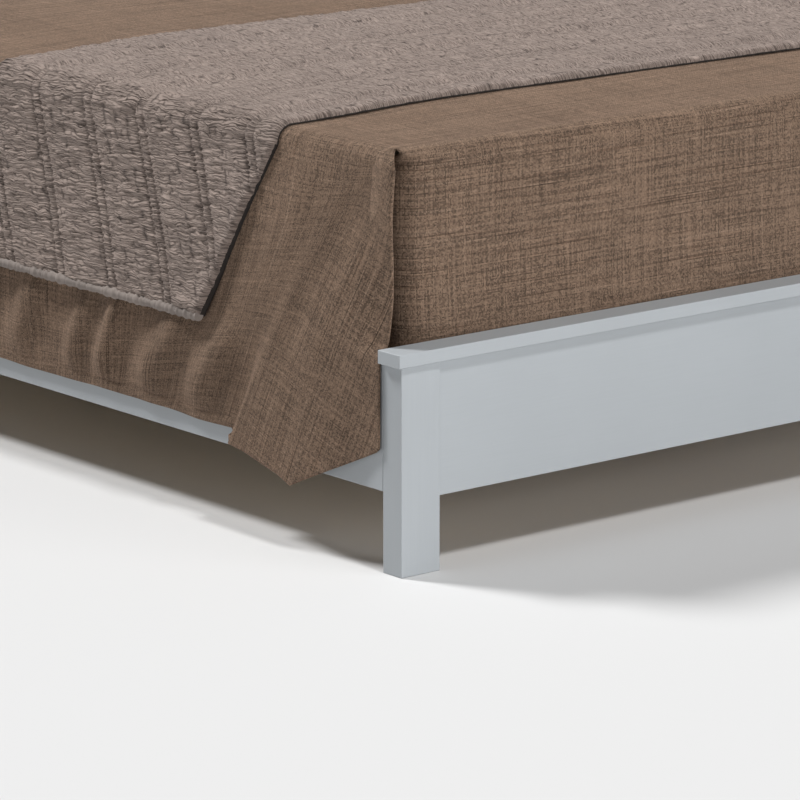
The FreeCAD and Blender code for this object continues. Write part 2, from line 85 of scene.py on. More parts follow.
def smooth_step(low: float, high: float, value: Array) -> Array:
    """Ease from 0 at low to 1 at high, for each value."""
    t = np.clip((value - low) / (high - low), 0, 1)
    return t * t * (3 - 2 * t)


class SmoothNoise:
    """Seeded value noise on a plane, smooth and the same on each run."""

    def __init__(self, seed: int, size: int = 97) -> None:
        """Draw the lattice, of size by size values, from a seed."""
        self.values = np.random.default_rng(seed).uniform(-1, 1, (size, size))

    def __call__(self, x: Array, y: Array) -> Array:
        """Noise from -1 to 1 at places given in lattice steps.

        Args:
            x: Places along the lattice's rows.
            y: Places along its columns.

        Returns:
            The noise values.
        """
        values, size = self.values, len(self.values)
        x0, y0 = np.floor(x).astype(int), np.floor(y).astype(int)
        fx, fy = smooth_step(0, 1, x - x0), smooth_step(0, 1, y - y0)
        near = values[x0 % size, y0 % size] * (1 - fx) + values[(x0 + 1) % size, y0 % size] * fx
        far_row = (y0 + 1) % size
        far = values[x0 % size, far_row] * (1 - fx) + values[(x0 + 1) % size, far_row] * fx
        return near * (1 - fy) + far * fy


@dataclass(frozen=True)
class Ripple:
    """A soft unevenness: its height, the size of its cells and where it starts in the noise."""

    height: float
    cell: Span
    start: Span = (0.0, 0.0)

    def at(self, noise: SmoothNoise, x: Array, y: Array, shift: Span = (0.0, 0.0)) -> Array:
        """Heights at places, with the noise shifted by some of its cells."""
        across = x / self.cell[0] + self.start[0] + shift[0]
        along = y / self.cell[1] + self.start[1] + shift[1]
        return self.height * noise(across, along)


def run_along(points: Array) -> Array:
    """Length along a row of points, from 0 at the first one."""
    return np.concatenate([[0], np.cumsum(np.linalg.norm(np.diff(points, axis=0), axis=1))])


class Graph:
    """Adds and links the nodes of one tree."""

    def __init__(self, tree: NodeTree) -> None:
        """Take the tree that the nodes go into."""
        self.tree = tree

    def node(self, kind: str, feeds: dict | None = None, **settings) -> Node:
        """Add a node.

        Args:
            kind: Blender's name of the node type.
            feeds: Input name or number to a value, or to the socket that feeds it.
            settings: Properties of the node.

        Returns:
            The new node.
        """
        node = self.tree.nodes.new(kind)
        for name, value in settings.items():
            setattr(node, name, value)
        self.fill(node, feeds or {})
        return node

    def fill(self, node: Node, feeds: dict) -> None:
        """Link sockets to a node's inputs, or set the inputs to values.

        Args:
            node: The node.
            feeds: Input name or number to a socket or value.
        """
        for key, value in feeds.items():
            if isinstance(value, NodeSocket):
                self.tree.links.new(value, node.inputs[key])
            else:
                node.inputs[key].default_value = value

    def math(self, operation: str, *values) -> NodeSocket:
        """Result of a math node on one to three values or sockets."""
        return self.node("ShaderNodeMath", dict(enumerate(values)), operation=operation).outputs[0]

    def noise(self, vector, scale: float, detail: float = 2.0, rough: float = 0.5) -> NodeSocket:
        """Noise value at a vector."""
        feeds = {"Vector": vector, "Scale": scale, "Detail": detail, "Roughness": rough}
        return self.node("ShaderNodeTexNoise", feeds).outputs["Fac"]

    def stretched(self, vector, scale: Sequence[float]) -> NodeSocket:
        """A vector times a scale along each axis."""
        feeds = {0: vector, 1: tuple(scale)}
        return self.node("ShaderNodeVectorMath", feeds, operation="MULTIPLY").outputs[0]

    def ranged(self, value, low: float, high: float, to_low: float, to_high: float) -> NodeSocket:
        """A value moved from one range to another and kept within it."""
        feeds = {"Value": value, "From Min": low, "From Max": high, "To Min": to_low, "To Max": to_high}
        return self.node("ShaderNodeMapRange", feeds).outputs[0]

    def swing(self, value, low: float, high: float) -> NodeSocket:
        """A noise's usual range moved to the range from low to high."""
        return self.ranged(value, *NOISE_RANGE, low, high)

    def about(self, value, middle: float, share: float, base) -> NodeSocket:
        """A share of a value's distance from its middle, added to a base."""
        return self.math("MULTIPLY_ADD", self.math("SUBTRACT", value, middle), share, base)

    def mix(self, factor, first, second, blend: str = "MIX") -> NodeSocket:
        """Mix of two colours."""
        feeds = {0: factor, 6: first, 7: second}
        return self.node("ShaderNodeMix", feeds, data_type="RGBA", blend_type=blend).outputs[2]


def rgba(colour: Colour, share: float = 1.0) -> tuple[float, float, float, float]:
    """A colour times a share, with full opacity."""
    return tuple(min(1.0, channel * share) for channel in colour) + (1.0,)


def open_tree(
        kind: str, name: str, inputs: dict[str, float | str], outputs: dict[str, str]) -> tuple[Graph, dict]:
    """Make a node tree with named inputs and outputs.

    Args:
        kind: Type of the tree.
        name: Name of the tree.
        inputs: Input name to a number's usual value, or to another type of socket.
        outputs: Output name to its type of socket.

    Returns:
        The tree's graph and its input sockets by name.
    """
    tree = bpy.data.node_groups.new(name, kind)
    for label, value in inputs.items():
        other = isinstance(value, str)
        socket_type = value if other else "NodeSocketFloat"
        socket = tree.interface.new_socket(label, in_out="INPUT", socket_type=socket_type)
        if not other:
            socket.default_value = value
    for label, socket_type in outputs.items():
        tree.interface.new_socket(label, in_out="OUTPUT", socket_type=socket_type)
    graph = Graph(tree)
    entry = graph.node("NodeGroupInput")
    return graph, {socket.name: socket for socket in entry.outputs if socket.name}


def linked(name: str, data: bpy.types.ID) -> Object:
    """New object with some data, linked to the scene."""
    item = bpy.data.objects.new(name, data)
    bpy.context.scene.collection.objects.link(item)
    return item


@dataclass(frozen=True)
class ThreadTone:
    """A tone of numbered threads: its step between neighbours, its run along a thread and its start."""

    apart: float
    run: float
    start: float


class ShaderGroups:
    """Effects that several finishes share, each built once as a node group."""

    weft_kinds = (ThreadTone(2.17, 2.2, 3.7), ThreadTone(5.31, 1.3, 23.1))
    warp_kinds = (ThreadTone(1.83, 1.6, 57.1), ThreadTone(4.63, 1.0, 41.9), ThreadTone(0.3, 2.0, 11.3))
    warp_weight = 0.9
    tone_middle = 0.95
    tone_share = 0.48
    speck_share = 0.31
    over_share = 0.05
    crinkle_bend = 0.012
    coarse_share = 0.6

    def __init__(self) -> None:
        """Build the groups."""
        self.weave = self._weave()
        self.crinkle = self._crinkle()
        self.brushed = self._brushed()
        self.grain = self._grain()
        self.mottle = self._mottle()

    @staticmethod
    def _start(name: str, sizes: dict[str, float], outputs: Sequence[str]) -> tuple[Graph, dict]:
        """Open a group with a vector and numbers as inputs and values as outputs."""
        inputs = {"Vector": "NodeSocketVector"} | sizes
        return open_tree("ShaderNodeTree", name, inputs, dict.fromkeys(outputs, "NodeSocketFloat"))

    def _weave(self) -> NodeTree:
        """Slubby plain weave in flat cloth coordinates: dark and light slubs, thread grain and height.

        Returns:
            The group's tree.
        """
        sizes = {"Thread Pitch": 0.0024, "Slub Length": 0.13}
        graph, entry = self._start("slub_weave", sizes, ("Dark", "Light", "Grain", "Height"))
        parts = graph.node("ShaderNodeSeparateXYZ", {0: entry["Vector"]}).outputs
        across, along = (graph.math("DIVIDE", parts[i], entry["Thread Pitch"]) for i in range(2))
        warp, weft = graph.math("FLOOR", across), graph.math("FLOOR", along)

        def tone(kind: ThreadTone, number, slow) -> NodeSocket:
            """Tone along numbered threads, which changes over a share of the slub length.

            Args:
                kind: The tone's steps.
                number: Number of the thread.
                slow: Place along the thread.

            Returns:
                The tone.
            """
            spot = graph.math("MULTIPLY_ADD", number, kind.apart, kind.start)
            place = graph.math("DIVIDE", slow, graph.math("MULTIPLY", entry["Slub Length"], kind.run))
            vector = graph.node("ShaderNodeCombineXYZ", {0: spot, 1: place}).outputs[0]
            return graph.noise(vector, 1.0, 1.0)

        def rounded(place) -> NodeSocket:
            """Rounded backs of threads that lie side by side."""
            return graph.math("ABSOLUTE", graph.math("SINE", graph.math("MULTIPLY", place, math.pi)))

        weft_slub, weft_tone = (tone(kind, weft, parts[0]) for kind in self.weft_kinds)
        warp_slub, warp_tone, warp_bands = (tone(kind, warp, parts[1]) for kind in self.warp_kinds)
        over = graph.math("PINGPONG", graph.math("ADD", warp, weft), 1.0)
        under = graph.math("SUBTRACT", 1.0, over)
        cell = graph.node("ShaderNodeCombineXYZ", {0: warp, 1: weft}).outputs[0]
        specks = graph.node("ShaderNodeTexWhiteNoise", {"Vector": cell}, noise_dimensions="2D")
        crossed = graph.math("MULTIPLY_ADD", warp_tone, self.warp_weight, weft_tone)
        grain = graph.about(crossed, self.tone_middle, self.tone_share, 0.5)
        grain = graph.about(specks.outputs["Value"], 0.5, self.speck_share, grain)
        grain = graph.about(over, 0.5, self.over_share, grain)
        hidden = graph.math("MULTIPLY", rounded(along), under)
        ridge = graph.math("MULTIPLY_ADD", rounded(across), over, hidden)
        faint = graph.ranged(warp_slub, 0.34, 0.24, 0, 0.4)
        dark = graph.math("MAXIMUM", graph.ranged(weft_slub, 0.59, 0.68, 0, 1), faint)
        bands = graph.ranged(warp_bands, 0.50, 0.70, 0, 0.22)
        light = graph.math("MAXIMUM", bands, graph.ranged(warp_slub, 0.57, 0.72, 0, 0.5))
        light = graph.math("MAXIMUM", light, graph.ranged(weft_slub, 0.40, 0.30, 0, 0.8))
        height = graph.math("MULTIPLY_ADD", ridge, 0.5, grain)
        graph.node("NodeGroupOutput", {"Dark": dark, "Light": light, "Grain": grain, "Height": height})
        return graph.tree

    def _crinkle(self) -> NodeTree:
        """Puckers of washed quilting that run along Y of the vector: height, and a painted-shade mask that
        darkens the creases and the stitch grooves.

        Returns:
            The group's tree.
        """
        sizes = {"Crinkle Pitch": 0.0038, "Crinkle Length": 0.032}
        rows = {"Line Start": 0.3, "Line Pitch": 0.14, "Pair Half": 0.01}
        graph, entry = self._start("quilt_crinkle", sizes | rows, ("Height", "Crease"))
        parts = graph.node("ShaderNodeSeparateXYZ", {0: entry["Vector"]}).outputs
        bend = graph.noise(entry["Vector"], 34.0, 2.0)
        place = graph.math("MULTIPLY_ADD", bend, self.crinkle_bend, parts[0])
        half_pitch = graph.math("MULTIPLY", entry["Line Pitch"], 0.5)
        turn = graph.math("SUBTRACT", parts[1], entry["Line Start"])
        beside = graph.math("PINGPONG", turn, half_pitch)
        gap = graph.math("ABSOLUTE", graph.math("SUBTRACT", beside, entry["Pair Half"]))

        def ridged(share: float, offset: float) -> NodeSocket:
            """Rounded ridges with sharp creases between them.

            Args:
                share: Size, as a share of the usual.
                offset: Where the noise starts.

            Returns:
                The height.
            """
            pitch, length = (graph.math("MULTIPLY", entry[label], share) for label in sizes)
            spot = graph.math("ADD", graph.math("DIVIDE", place, pitch), offset)
            feeds = {0: spot, 1: graph.math("DIVIDE", parts[1], length)}
            vector = graph.node("ShaderNodeCombineXYZ", feeds).outputs[0]
            noise = graph.math("SUBTRACT", graph.noise(vector, 1.0, 0.0), 0.5)
            return graph.math("ABSOLUTE", graph.math("MULTIPLY", noise, 4.0))

        coarse, fine = ridged(1.9, 3.1), ridged(1.0, 17.7)
        rest = graph.math("MULTIPLY", fine, 1 - self.coarse_share)
        height = graph.math("MULTIPLY_ADD", coarse, self.coarse_share, rest)
        # Painted shade: the mask is strongest in the sharp creases and beside the stitch lines, where shade
        # falls.
        sharp = graph.ranged(coarse, 0.18, 0.0, 0, 1)
        crease = graph.math("MAXIMUM", sharp, graph.ranged(fine, 0.22, 0.0, 0, 0.8))
        crease = graph.math("MAXIMUM", crease, graph.ranged(gap, 0.0036, 0.001, 0, 0.5))
        graph.node("NodeGroupOutput", {"Height": height, "Crease": crease})
        return graph.tree

    def _brushed(self) -> NodeTree:
        """Brush marks along X of the vector, over broad clouds.

        Returns:
            The group's tree.
        """
        graph, entry = self._start("brush_marks", {"Mark Scale": 420.0}, ("Shade", "Height"))
        fine = graph.stretched(entry["Vector"], (0.022, 1, 1))
        marks = graph.noise(fine, entry["Mark Scale"], 3.0)
        clouds = graph.noise(entry["Vector"], 5.0, 3.0)
        shade = graph.math("ADD", graph.math("MULTIPLY", marks, 0.4), graph.math("MULTIPLY", clouds, 0.6))
        peel = graph.noise(entry["Vector"], 700.0, 1.0)
        height = graph.math("ADD", marks, graph.math("MULTIPLY", peel, 0.35))
        graph.node("NodeGroupOutput", {"Shade": shade, "Height": height})
        return graph.tree

    def _grain(self) -> NodeTree:
        """Wood grain along X of the vector: growth bands, pores and height.

        Returns:
            The group's tree.
        """
        graph, entry = self._start("wood_grain", {"Band Scale": 26.0}, ("Bands", "Pores", "Height"))
        drawn = graph.stretched(entry["Vector"], (0.07, 1, 1))
        warp = graph.noise(drawn, 9.0, 2.0)
        bent = graph.node("ShaderNodeVectorMath", {0: drawn, 1: warp}, operation="ADD")
        feeds = {"Vector": bent.outputs[0], "Scale": entry["Band Scale"], "Distortion": 2.2, "Detail": 2.0}
        bands = graph.node("ShaderNodeTexWave", feeds, bands_direction="Y").outputs["Fac"]
        pores = graph.noise(graph.stretched(entry["Vector"], (0.02, 1, 1)), 900.0, 2.0)
        height = graph.math("ADD", graph.math("MULTIPLY", bands, 0.4), pores)
        graph.node("NodeGroupOutput", {"Bands": bands, "Pores": pores, "Height": height})
        return graph.tree

    def _mottle(self) -> NodeTree:
        """Fine even texture of a coat, plating or moulding, with faint clouds.

        Returns:
            The group's tree.
        """
        graph, entry = self._start("coat_mottle", {"Speck Scale": 1400.0}, ("Shade", "Height"))
        specks = graph.noise(entry["Vector"], entry["Speck Scale"], 1.0)
        clouds = graph.noise(entry["Vector"], 14.0, 4.0, 0.6)
        graph.node("NodeGroupOutput", {"Shade": clouds, "Height": specks})
        return graph.tree


class Finish:
    """A named surface finish that can make its material."""

    name: str

    def start(self, suffix: str = "") -> tuple[Graph, Node]:
        """New material with its Principled shader.

        Args:
            suffix: What is added to the finish's name.

        Returns:
            The material's graph and the shader node.
        """
        self.made = bpy.data.materials.new(self.name + suffix)
        self.made.use_nodes = True
        graph = Graph(self.made.node_tree)
        return graph, self.made.node_tree.nodes["Principled BSDF"]

    @staticmethod
    def drawn_vector(graph: Graph, axis: Axis) -> NodeSocket:
        """Object coordinates turned so that X runs along the given axis."""
        place = graph.node("ShaderNodeTexCoord").outputs["Object"]
        turns = {Axis.ACROSS: (0, 0, 0), Axis.ALONG: (0, 0, -QUARTER_TURN), Axis.UP: (0, QUARTER_TURN, 0)}
        return graph.node("ShaderNodeMapping", {"Vector": place, "Rotation": turns[axis]}).outputs[0]

    @staticmethod
    def bump(graph: Graph, shader: Node, height, depth: float, strength: float) -> None:
        """Feed a height into the shader's normal."""
        feeds = {"Height": height, "Distance": depth, "Strength": strength}
        graph.fill(shader, {"Normal": graph.node("ShaderNodeBump", feeds).outputs[0]})

    @staticmethod
    def shaded(graph: Graph, shade, colour: Colour, shares: Span) -> NodeSocket:
        """A colour that swings between two shares of itself."""
        return graph.mix(graph.swing(shade, 0, 1), rgba(colour, shares[0]), rgba(colour, shares[1]))


@dataclass
class PaintedWood(Finish):
    """Satin paint with faint brush marks."""

    groups: ShaderGroups
    name: str = "satin_paint"
    colour: Colour = (0.415, 0.442, 0.464)
    gloss: float = 0.45
    shades: Span = (0.965, 1.03)
    roughness: Span = (0.42, 0.52)
    mark_depth: float = 0.00012

    def material(self, axis: Axis) -> Material:
        """The paint with its marks along an axis.

        Args:
            axis: Direction of the boards it goes on.

        Returns:
            The material.
        """
        graph, shader = self.start("_" + axis.name.lower())
        feeds = {"Vector": self.drawn_vector(graph, axis)}
        marks = graph.node("ShaderNodeGroup", feeds, node_tree=self.groups.brushed).outputs
        tint = self.shaded(graph, marks["Shade"], self.colour, self.shades)
        rough = graph.swing(marks["Shade"], *self.roughness)
        feeds = {"Base Color": tint, "Roughness": rough, "Specular IOR Level": self.gloss}
        graph.fill(shader, feeds)
        self.bump(graph, shader, marks["Height"], self.mark_depth, 0.5)
        return self.made


@dataclass
class PlainWood(Finish):
    """Bare or lacquered wood with grain."""

    groups: ShaderGroups
    name: str
    pale: Colour
    dark: Colour
    band_scale: float = 26.0
    roughness: float = 0.6
    rough_swing: float = 0.08
    pore_shade: float = 0.55
    grain_depth: float = 0.00018

    def material(self, axis: Axis) -> Material:
        """The wood with its grain along an axis.

        Args:
            axis: Direction of the boards it goes on.

        Returns:
            The material.
        """
        graph, shader = self.start("_" + axis.name.lower())
        feeds = {"Vector": self.drawn_vector(graph, axis), "Band Scale": self.band_scale}
        grain = graph.node("ShaderNodeGroup", feeds, node_tree=self.groups.grain).outputs
        bands = graph.ranged(grain["Bands"], 0.15, 0.9, 0, 0.8)
        pores = graph.ranged(grain["Pores"], 0.52, 0.72, 0, 0.35)
        tint = graph.mix(bands, rgba(self.pale), rgba(self.dark))
        tint = graph.mix(pores, tint, rgba(self.dark, self.pore_shade))
        swing = self.rough_swing
        rough = graph.swing(grain["Pores"], self.roughness - swing, self.roughness + swing)
        graph.fill(shader, {"Base Color": tint, "Roughness": rough})
        self.bump(graph, shader, grain["Height"], self.grain_depth, 0.6)
        return self.made


@dataclass
class Coat(Finish):
    """Powder coat, plating, chrome or moulded plastic."""

    groups: ShaderGroups
    name: str
    colour: Colour
    roughness: float
    metallic: float = 0.0
    speck_scale: float = 1400.0
    speck_depth: float = 0.00006
    shades: Span = (0.86, 1.12)
    rough_shares: Span = (0.85, 1.15)

    def material(self) -> Material:
        """The coat's material.

        Returns:
            The material.
        """
        graph, shader = self.start()
        place = graph.node("ShaderNodeTexCoord").outputs["Object"]
        feeds = {"Vector": place, "Speck Scale": self.speck_scale}
        mottle = graph.node("ShaderNodeGroup", feeds, node_tree=self.groups.mottle).outputs
        tint = self.shaded(graph, mottle["Shade"], self.colour, self.shades)
        rough = graph.swing(mottle["Shade"], *(self.roughness * share for share in self.rough_shares))
        graph.fill(shader, {"Base Color": tint, "Roughness": rough, "Metallic": self.metallic})
        self.bump(graph, shader, mottle["Height"], self.speck_depth, 0.6)
        return self.made


@dataclass(frozen=True)
class QuiltLines:
    """Places of a quilt's double stitch lines, as distances from the footboard."""

    start: float = 355 * MM
    pitch: float = 142.5 * MM
    pair_half: float = 10.5 * MM
    lean: float = 0.47


@dataclass
class Cloth(Finish):
    """Woven cloth with slubs, read from the piece's flat coordinates in its UV map."""

    groups: ShaderGroups
    name: str
    colour: Colour
    dark: Colour
    light: Colour
    thread_pitch: float = 0.0020
    slub_length: float = 0.13
    slub_share: float = 0.64
    grain_spread: float = 0.62
    sheen: float = 0.30
    roughness: float = 0.88
    rough_swing: Span = (-0.06, 0.08)
    sheen_shade: float = 2.2
    sheen_roughness: float = 0.5
    gloss: float = 0.2
    depth: float = 0.0005
    cloud_share: float = 0.05
    lines: QuiltLines | None = None
    # Share of the dark colour used for the painted shade in the creases.
    painted_crease_shade: float = 0.35
    crinkle_depth: float = 0.011

    def material(self) -> Material:
        """The cloth's material.

        Returns:
            The material.
        """
        graph, shader = self.start()
        flat = graph.node("ShaderNodeUVMap", uv_map="flat").outputs[0]
        sizes = {"Vector": flat, "Thread Pitch": self.thread_pitch, "Slub Length": self.slub_length}
        weave = graph.node("ShaderNodeGroup", sizes, node_tree=self.groups.weave).outputs
        tint = rgba(self.colour)
        for slub, colour in (("Dark", self.dark), ("Light", self.light)):
            tint = graph.mix(graph.math("MULTIPLY", weave[slub], self.slub_share), tint, rgba(colour))
        tone = graph.swing(weave["Grain"], 1 - self.grain_spread, 1 + self.grain_spread)
        clouds = graph.swing(graph.noise(flat, 7.0, 3.0), 1 - self.cloud_share, 1 + self.cloud_share)
        tone = graph.math("MULTIPLY", tone, clouds)
        toned = graph.node("ShaderNodeCombineXYZ", {0: tone, 1: tone, 2: tone}).outputs[0]
        tint = graph.mix(1.0, tint, toned, "MULTIPLY")
        rough = graph.swing(weave["Grain"], *(self.roughness + swing for swing in self.rough_swing))
        graph.fill(shader, {"Roughness": rough, "Specular IOR Level": self.gloss})
        sheen = {"Sheen Weight": self.sheen, "Sheen Roughness": self.sheen_roughness}
        graph.fill(shader, sheen | {"Sheen Tint": rgba(self.light, self.sheen_shade)})
        height, depth = weave["Height"], self.depth
        if self.lines:
            rows = {"Line Start": self.lines.start, "Line Pitch": self.lines.pitch}
            feeds = {"Vector": flat, "Pair Half": self.lines.pair_half} | rows
            crinkle = graph.node("ShaderNodeGroup", feeds, node_tree=self.groups.crinkle).outputs
            # Painted shade: the colour is darkened in the creases and stitch grooves.
            tint = graph.mix(crinkle["Crease"], tint, rgba(self.dark, self.painted_crease_shade))
            height, depth = crinkle["Height"], self.crinkle_depth
        graph.fill(shader, {"Base Color": tint})
        self.bump(graph, shader, height, depth, 0.8)
        return self.made


@dataclass
class Palette:
    """Every finish of the bed."""

    groups: ShaderGroups = field(default_factory=ShaderGroups)

    def __post_init__(self) -> None:
        """Make the materials."""
        groups = self.groups
        paint = PaintedWood(groups)
        bare = PlainWood(groups, "planed_softwood", (0.66, 0.49, 0.31), (0.50, 0.32, 0.17))
        beech = PlainWood(groups, "bent_beech", (0.70, 0.53, 0.35), (0.58, 0.40, 0.24), 34.0, 0.45)
        ply = PlainWood(groups, "birch_ply", (0.72, 0.60, 0.44), (0.60, 0.47, 0.32), 14.0, 0.62)
        self.paint = {axis: paint.material(axis) for axis in Axis}
        self.bare = {axis: bare.material(axis) for axis in Axis}
        self.beech = beech.material(Axis.ACROSS)
        self.ply = ply.material(Axis.ACROSS)
        self.black_steel = Coat(groups, "black_powder_coat", (0.022, 0.022, 0.024), 0.46).material()
        self.zinc = Coat(groups, "zinc_plate", (0.60, 0.61, 0.62), 0.34, 1.0, 500.0, 0.00003).material()
        self.chrome = Coat(groups, "ground_chrome", (0.78, 0.78, 0.79), 0.09, 1.0, 300.0, 0.00001).material()
        self.nylon = Coat(groups, "black_nylon", (0.025, 0.025, 0.026), 0.6, 0.0, 900.0, 0.00012).material()
        self.linen_thread = Coat(groups, "linen_thread", (0.20, 0.14, 0.105), 0.8).material()
        self.quilt_thread = Coat(groups, "quilt_thread", (0.13, 0.10, 0.088), 0.8).material()
        self.webbing_thread = Coat(groups, "webbing_thread", (0.16, 0.16, 0.17), 0.7).material()
        # Near-black backing: a painted shadow that stands in for the shade in the gap under the quilt's
        # rolled edges.
        self.shadow_backing = Coat(groups, "quilt_backing", (0.028, 0.022, 0.019), 0.9).material()
        binding = Coat(groups, "binding_cotton", (0.255, 0.216, 0.193), 0.85, 0.0, 420.0, 0.0006)
        self.binding = binding.material()
        self.tape = Coat(groups, "mattress_tape", (0.62, 0.62, 0.60), 0.8, 0.0, 500.0, 0.0003).material()
        self.linen = Cloth(
            groups, "slub_linen", (0.165, 0.1105, 0.077), (0.066, 0.039, 0.025),
            (0.242, 0.170, 0.123)).material()
        self.cotton = Cloth(
            groups, "washed_cotton", (0.330, 0.262, 0.228), (0.225, 0.174, 0.150), (0.390, 0.316, 0.281),
            thread_pitch=0.0009, slub_length=0.04, slub_share=0.3, grain_spread=0.1, roughness=0.82,
            cloud_share=0.07, lines=QuiltLines()).material()
        self.ticking = Cloth(
            groups, "mattress_ticking", (0.70, 0.69, 0.66), (0.60, 0.59, 0.56), (0.78, 0.77, 0.75),
            thread_pitch=0.0012, slub_length=0.05, slub_share=0.4, grain_spread=0.05, sheen=0.2,
            roughness=0.8, depth=0.0003, cloud_share=0.03).material()
        self.webbing = Cloth(
            groups, "black_webbing", (0.030, 0.030, 0.033), (0.018, 0.018, 0.02), (0.05, 0.05, 0.054),
            thread_pitch=0.0014, slub_length=0.02, slub_share=0.4, grain_spread=0.2, sheen=0.2,
            roughness=0.7, depth=0.0004).material()


class ClothMesh:
    """Collects grids of points with flat-cloth coordinates and makes one welded mesh of them."""

    weld_distance = 0.00002

    def __init__(self) -> None:
        """Start with no points."""
        self.points: list[Array] = []
        self.flats: list[Array] = []
        self.faces: list[Array] = []
        self.finishes: list[int] = []
        self.count = 0

    def add(self, points: Array, flat: Array, flip: bool = False, finish: int = 0) -> None:
        """Add a grid.

        Args:
            points: Rows by columns by 3 places.
            flat: Rows by columns by 2 flat-cloth coordinates.
            flip: Whether the faces point the other way.
            finish: Number of the material.
        """
        rows, columns = points.shape[:2]
        index = np.arange(rows * columns).reshape(rows, columns)
        corners = (index[:-1, :-1], index[:-1, 1:], index[1:, 1:], index[1:, :-1])
        quads = np.stack(corners, axis=-1).reshape(-1, 4)
        self._store(points.reshape(-1, 3), flat.reshape(-1, 2), quads[:, ::-1] if flip else quads, finish)

    def _store(self, points: Array, flat: Array, faces: Array, finish: int) -> None:
        """Keep points and the faces between them.

        Args:
            points: Places.
            flat: Their flat coordinates.
            faces: Numbers of each face's points.
            finish: Number of the material.
        """
        self.faces.append(faces + self.count)
        self.finishes += [finish] * len(faces)
        self.points.append(points)
        self.flats.append(flat)
        self.count += len(points)

    def join(self, first: Array, second: Array, flats: Sequence[Array], flip: bool, finish: int) -> None:
        """Add triangles between two rows with different numbers of points.

        Args:
            first: Places of one row.
            second: Places of the other row.
            flats: Flat-cloth coordinates of both rows.
            flip: Whether the faces point the other way.
            finish: Number of the material.
        """
        many, few = len(first), len(second)
        faces, near, far = [], 0, 0
        while near + 1 < many or far + 1 < few:
            start = many + far
            if far + 1 == few or (near + 1 < many and (near + 1) * (few - 1) <= (far + 1) * (many - 1)):
                faces.append((near, near + 1, start))
                near += 1
            else:
                faces.append((near, start + 1, start))
                far += 1
        made = np.array(faces)[:, ::-1] if flip else np.array(faces)
        self._store(np.concatenate([first, second]), np.concatenate(flats), made, finish)

    def build(self, name: str, *materials: Material, thickness: float = 0.0, offset: float = -1.0) -> Object:
        """Make the object.

        Args:
            name: Name of the piece.
            materials: Its finishes.
            thickness: Thickness of the sheet, or 0 for a bare one.
            offset: Where the thickness goes: -1 is the inside, 0 is both sides.

        Returns:
            The object, with its flat coordinates in a UV map named flat.
        """
        faces = [face for group in self.faces for face in group.tolist()]
        corners = np.concatenate([group.ravel() for group in self.faces])
        mesh = bpy.data.meshes.new(name)
        mesh.from_pydata(np.concatenate(self.points).tolist(), [], faces)
        layer = mesh.uv_layers.new(name="flat")
        layer.data.foreach_set("uv", np.concatenate(self.flats)[corners].astype(np.float32).ravel())
        mesh.polygons.foreach_set("material_index", self.finishes)
        work = bmesh.new()
        work.from_mesh(mesh)
        bmesh.ops.remove_doubles(work, verts=work.verts, dist=self.weld_distance)
        work.to_mesh(mesh)
        work.free()
        mesh.shade_smooth()
        for material in materials:
            mesh.materials.append(material)
        piece = linked(name, mesh)
        if thickness:
            solid = piece.modifiers.new("thickness", "SOLIDIFY")
            solid.thickness = thickness
            solid.offset = offset
            depsgraph = bpy.context.evaluated_depsgraph_get()
            mesh = bpy.data.meshes.new_from_object(piece.evaluated_get(depsgraph))
            piece.modifiers.clear()
            piece.data = mesh
        return piece


def triangles(piece: Object) -> int:
    """Number of triangles in a piece's mesh."""
    return sum(len(face.vertices) - 2 for face in piece.data.polygons)


@dataclass(frozen=True)
class Stitch:
    """Sizes of the stitches in a row."""

    pitch: float
    length: float
    radius: float


@dataclass(frozen=True)
class Piping:
    """Sizes of a puckered piping."""

    radius: float
    pucker: float
    pucker_scale: float
    step: float


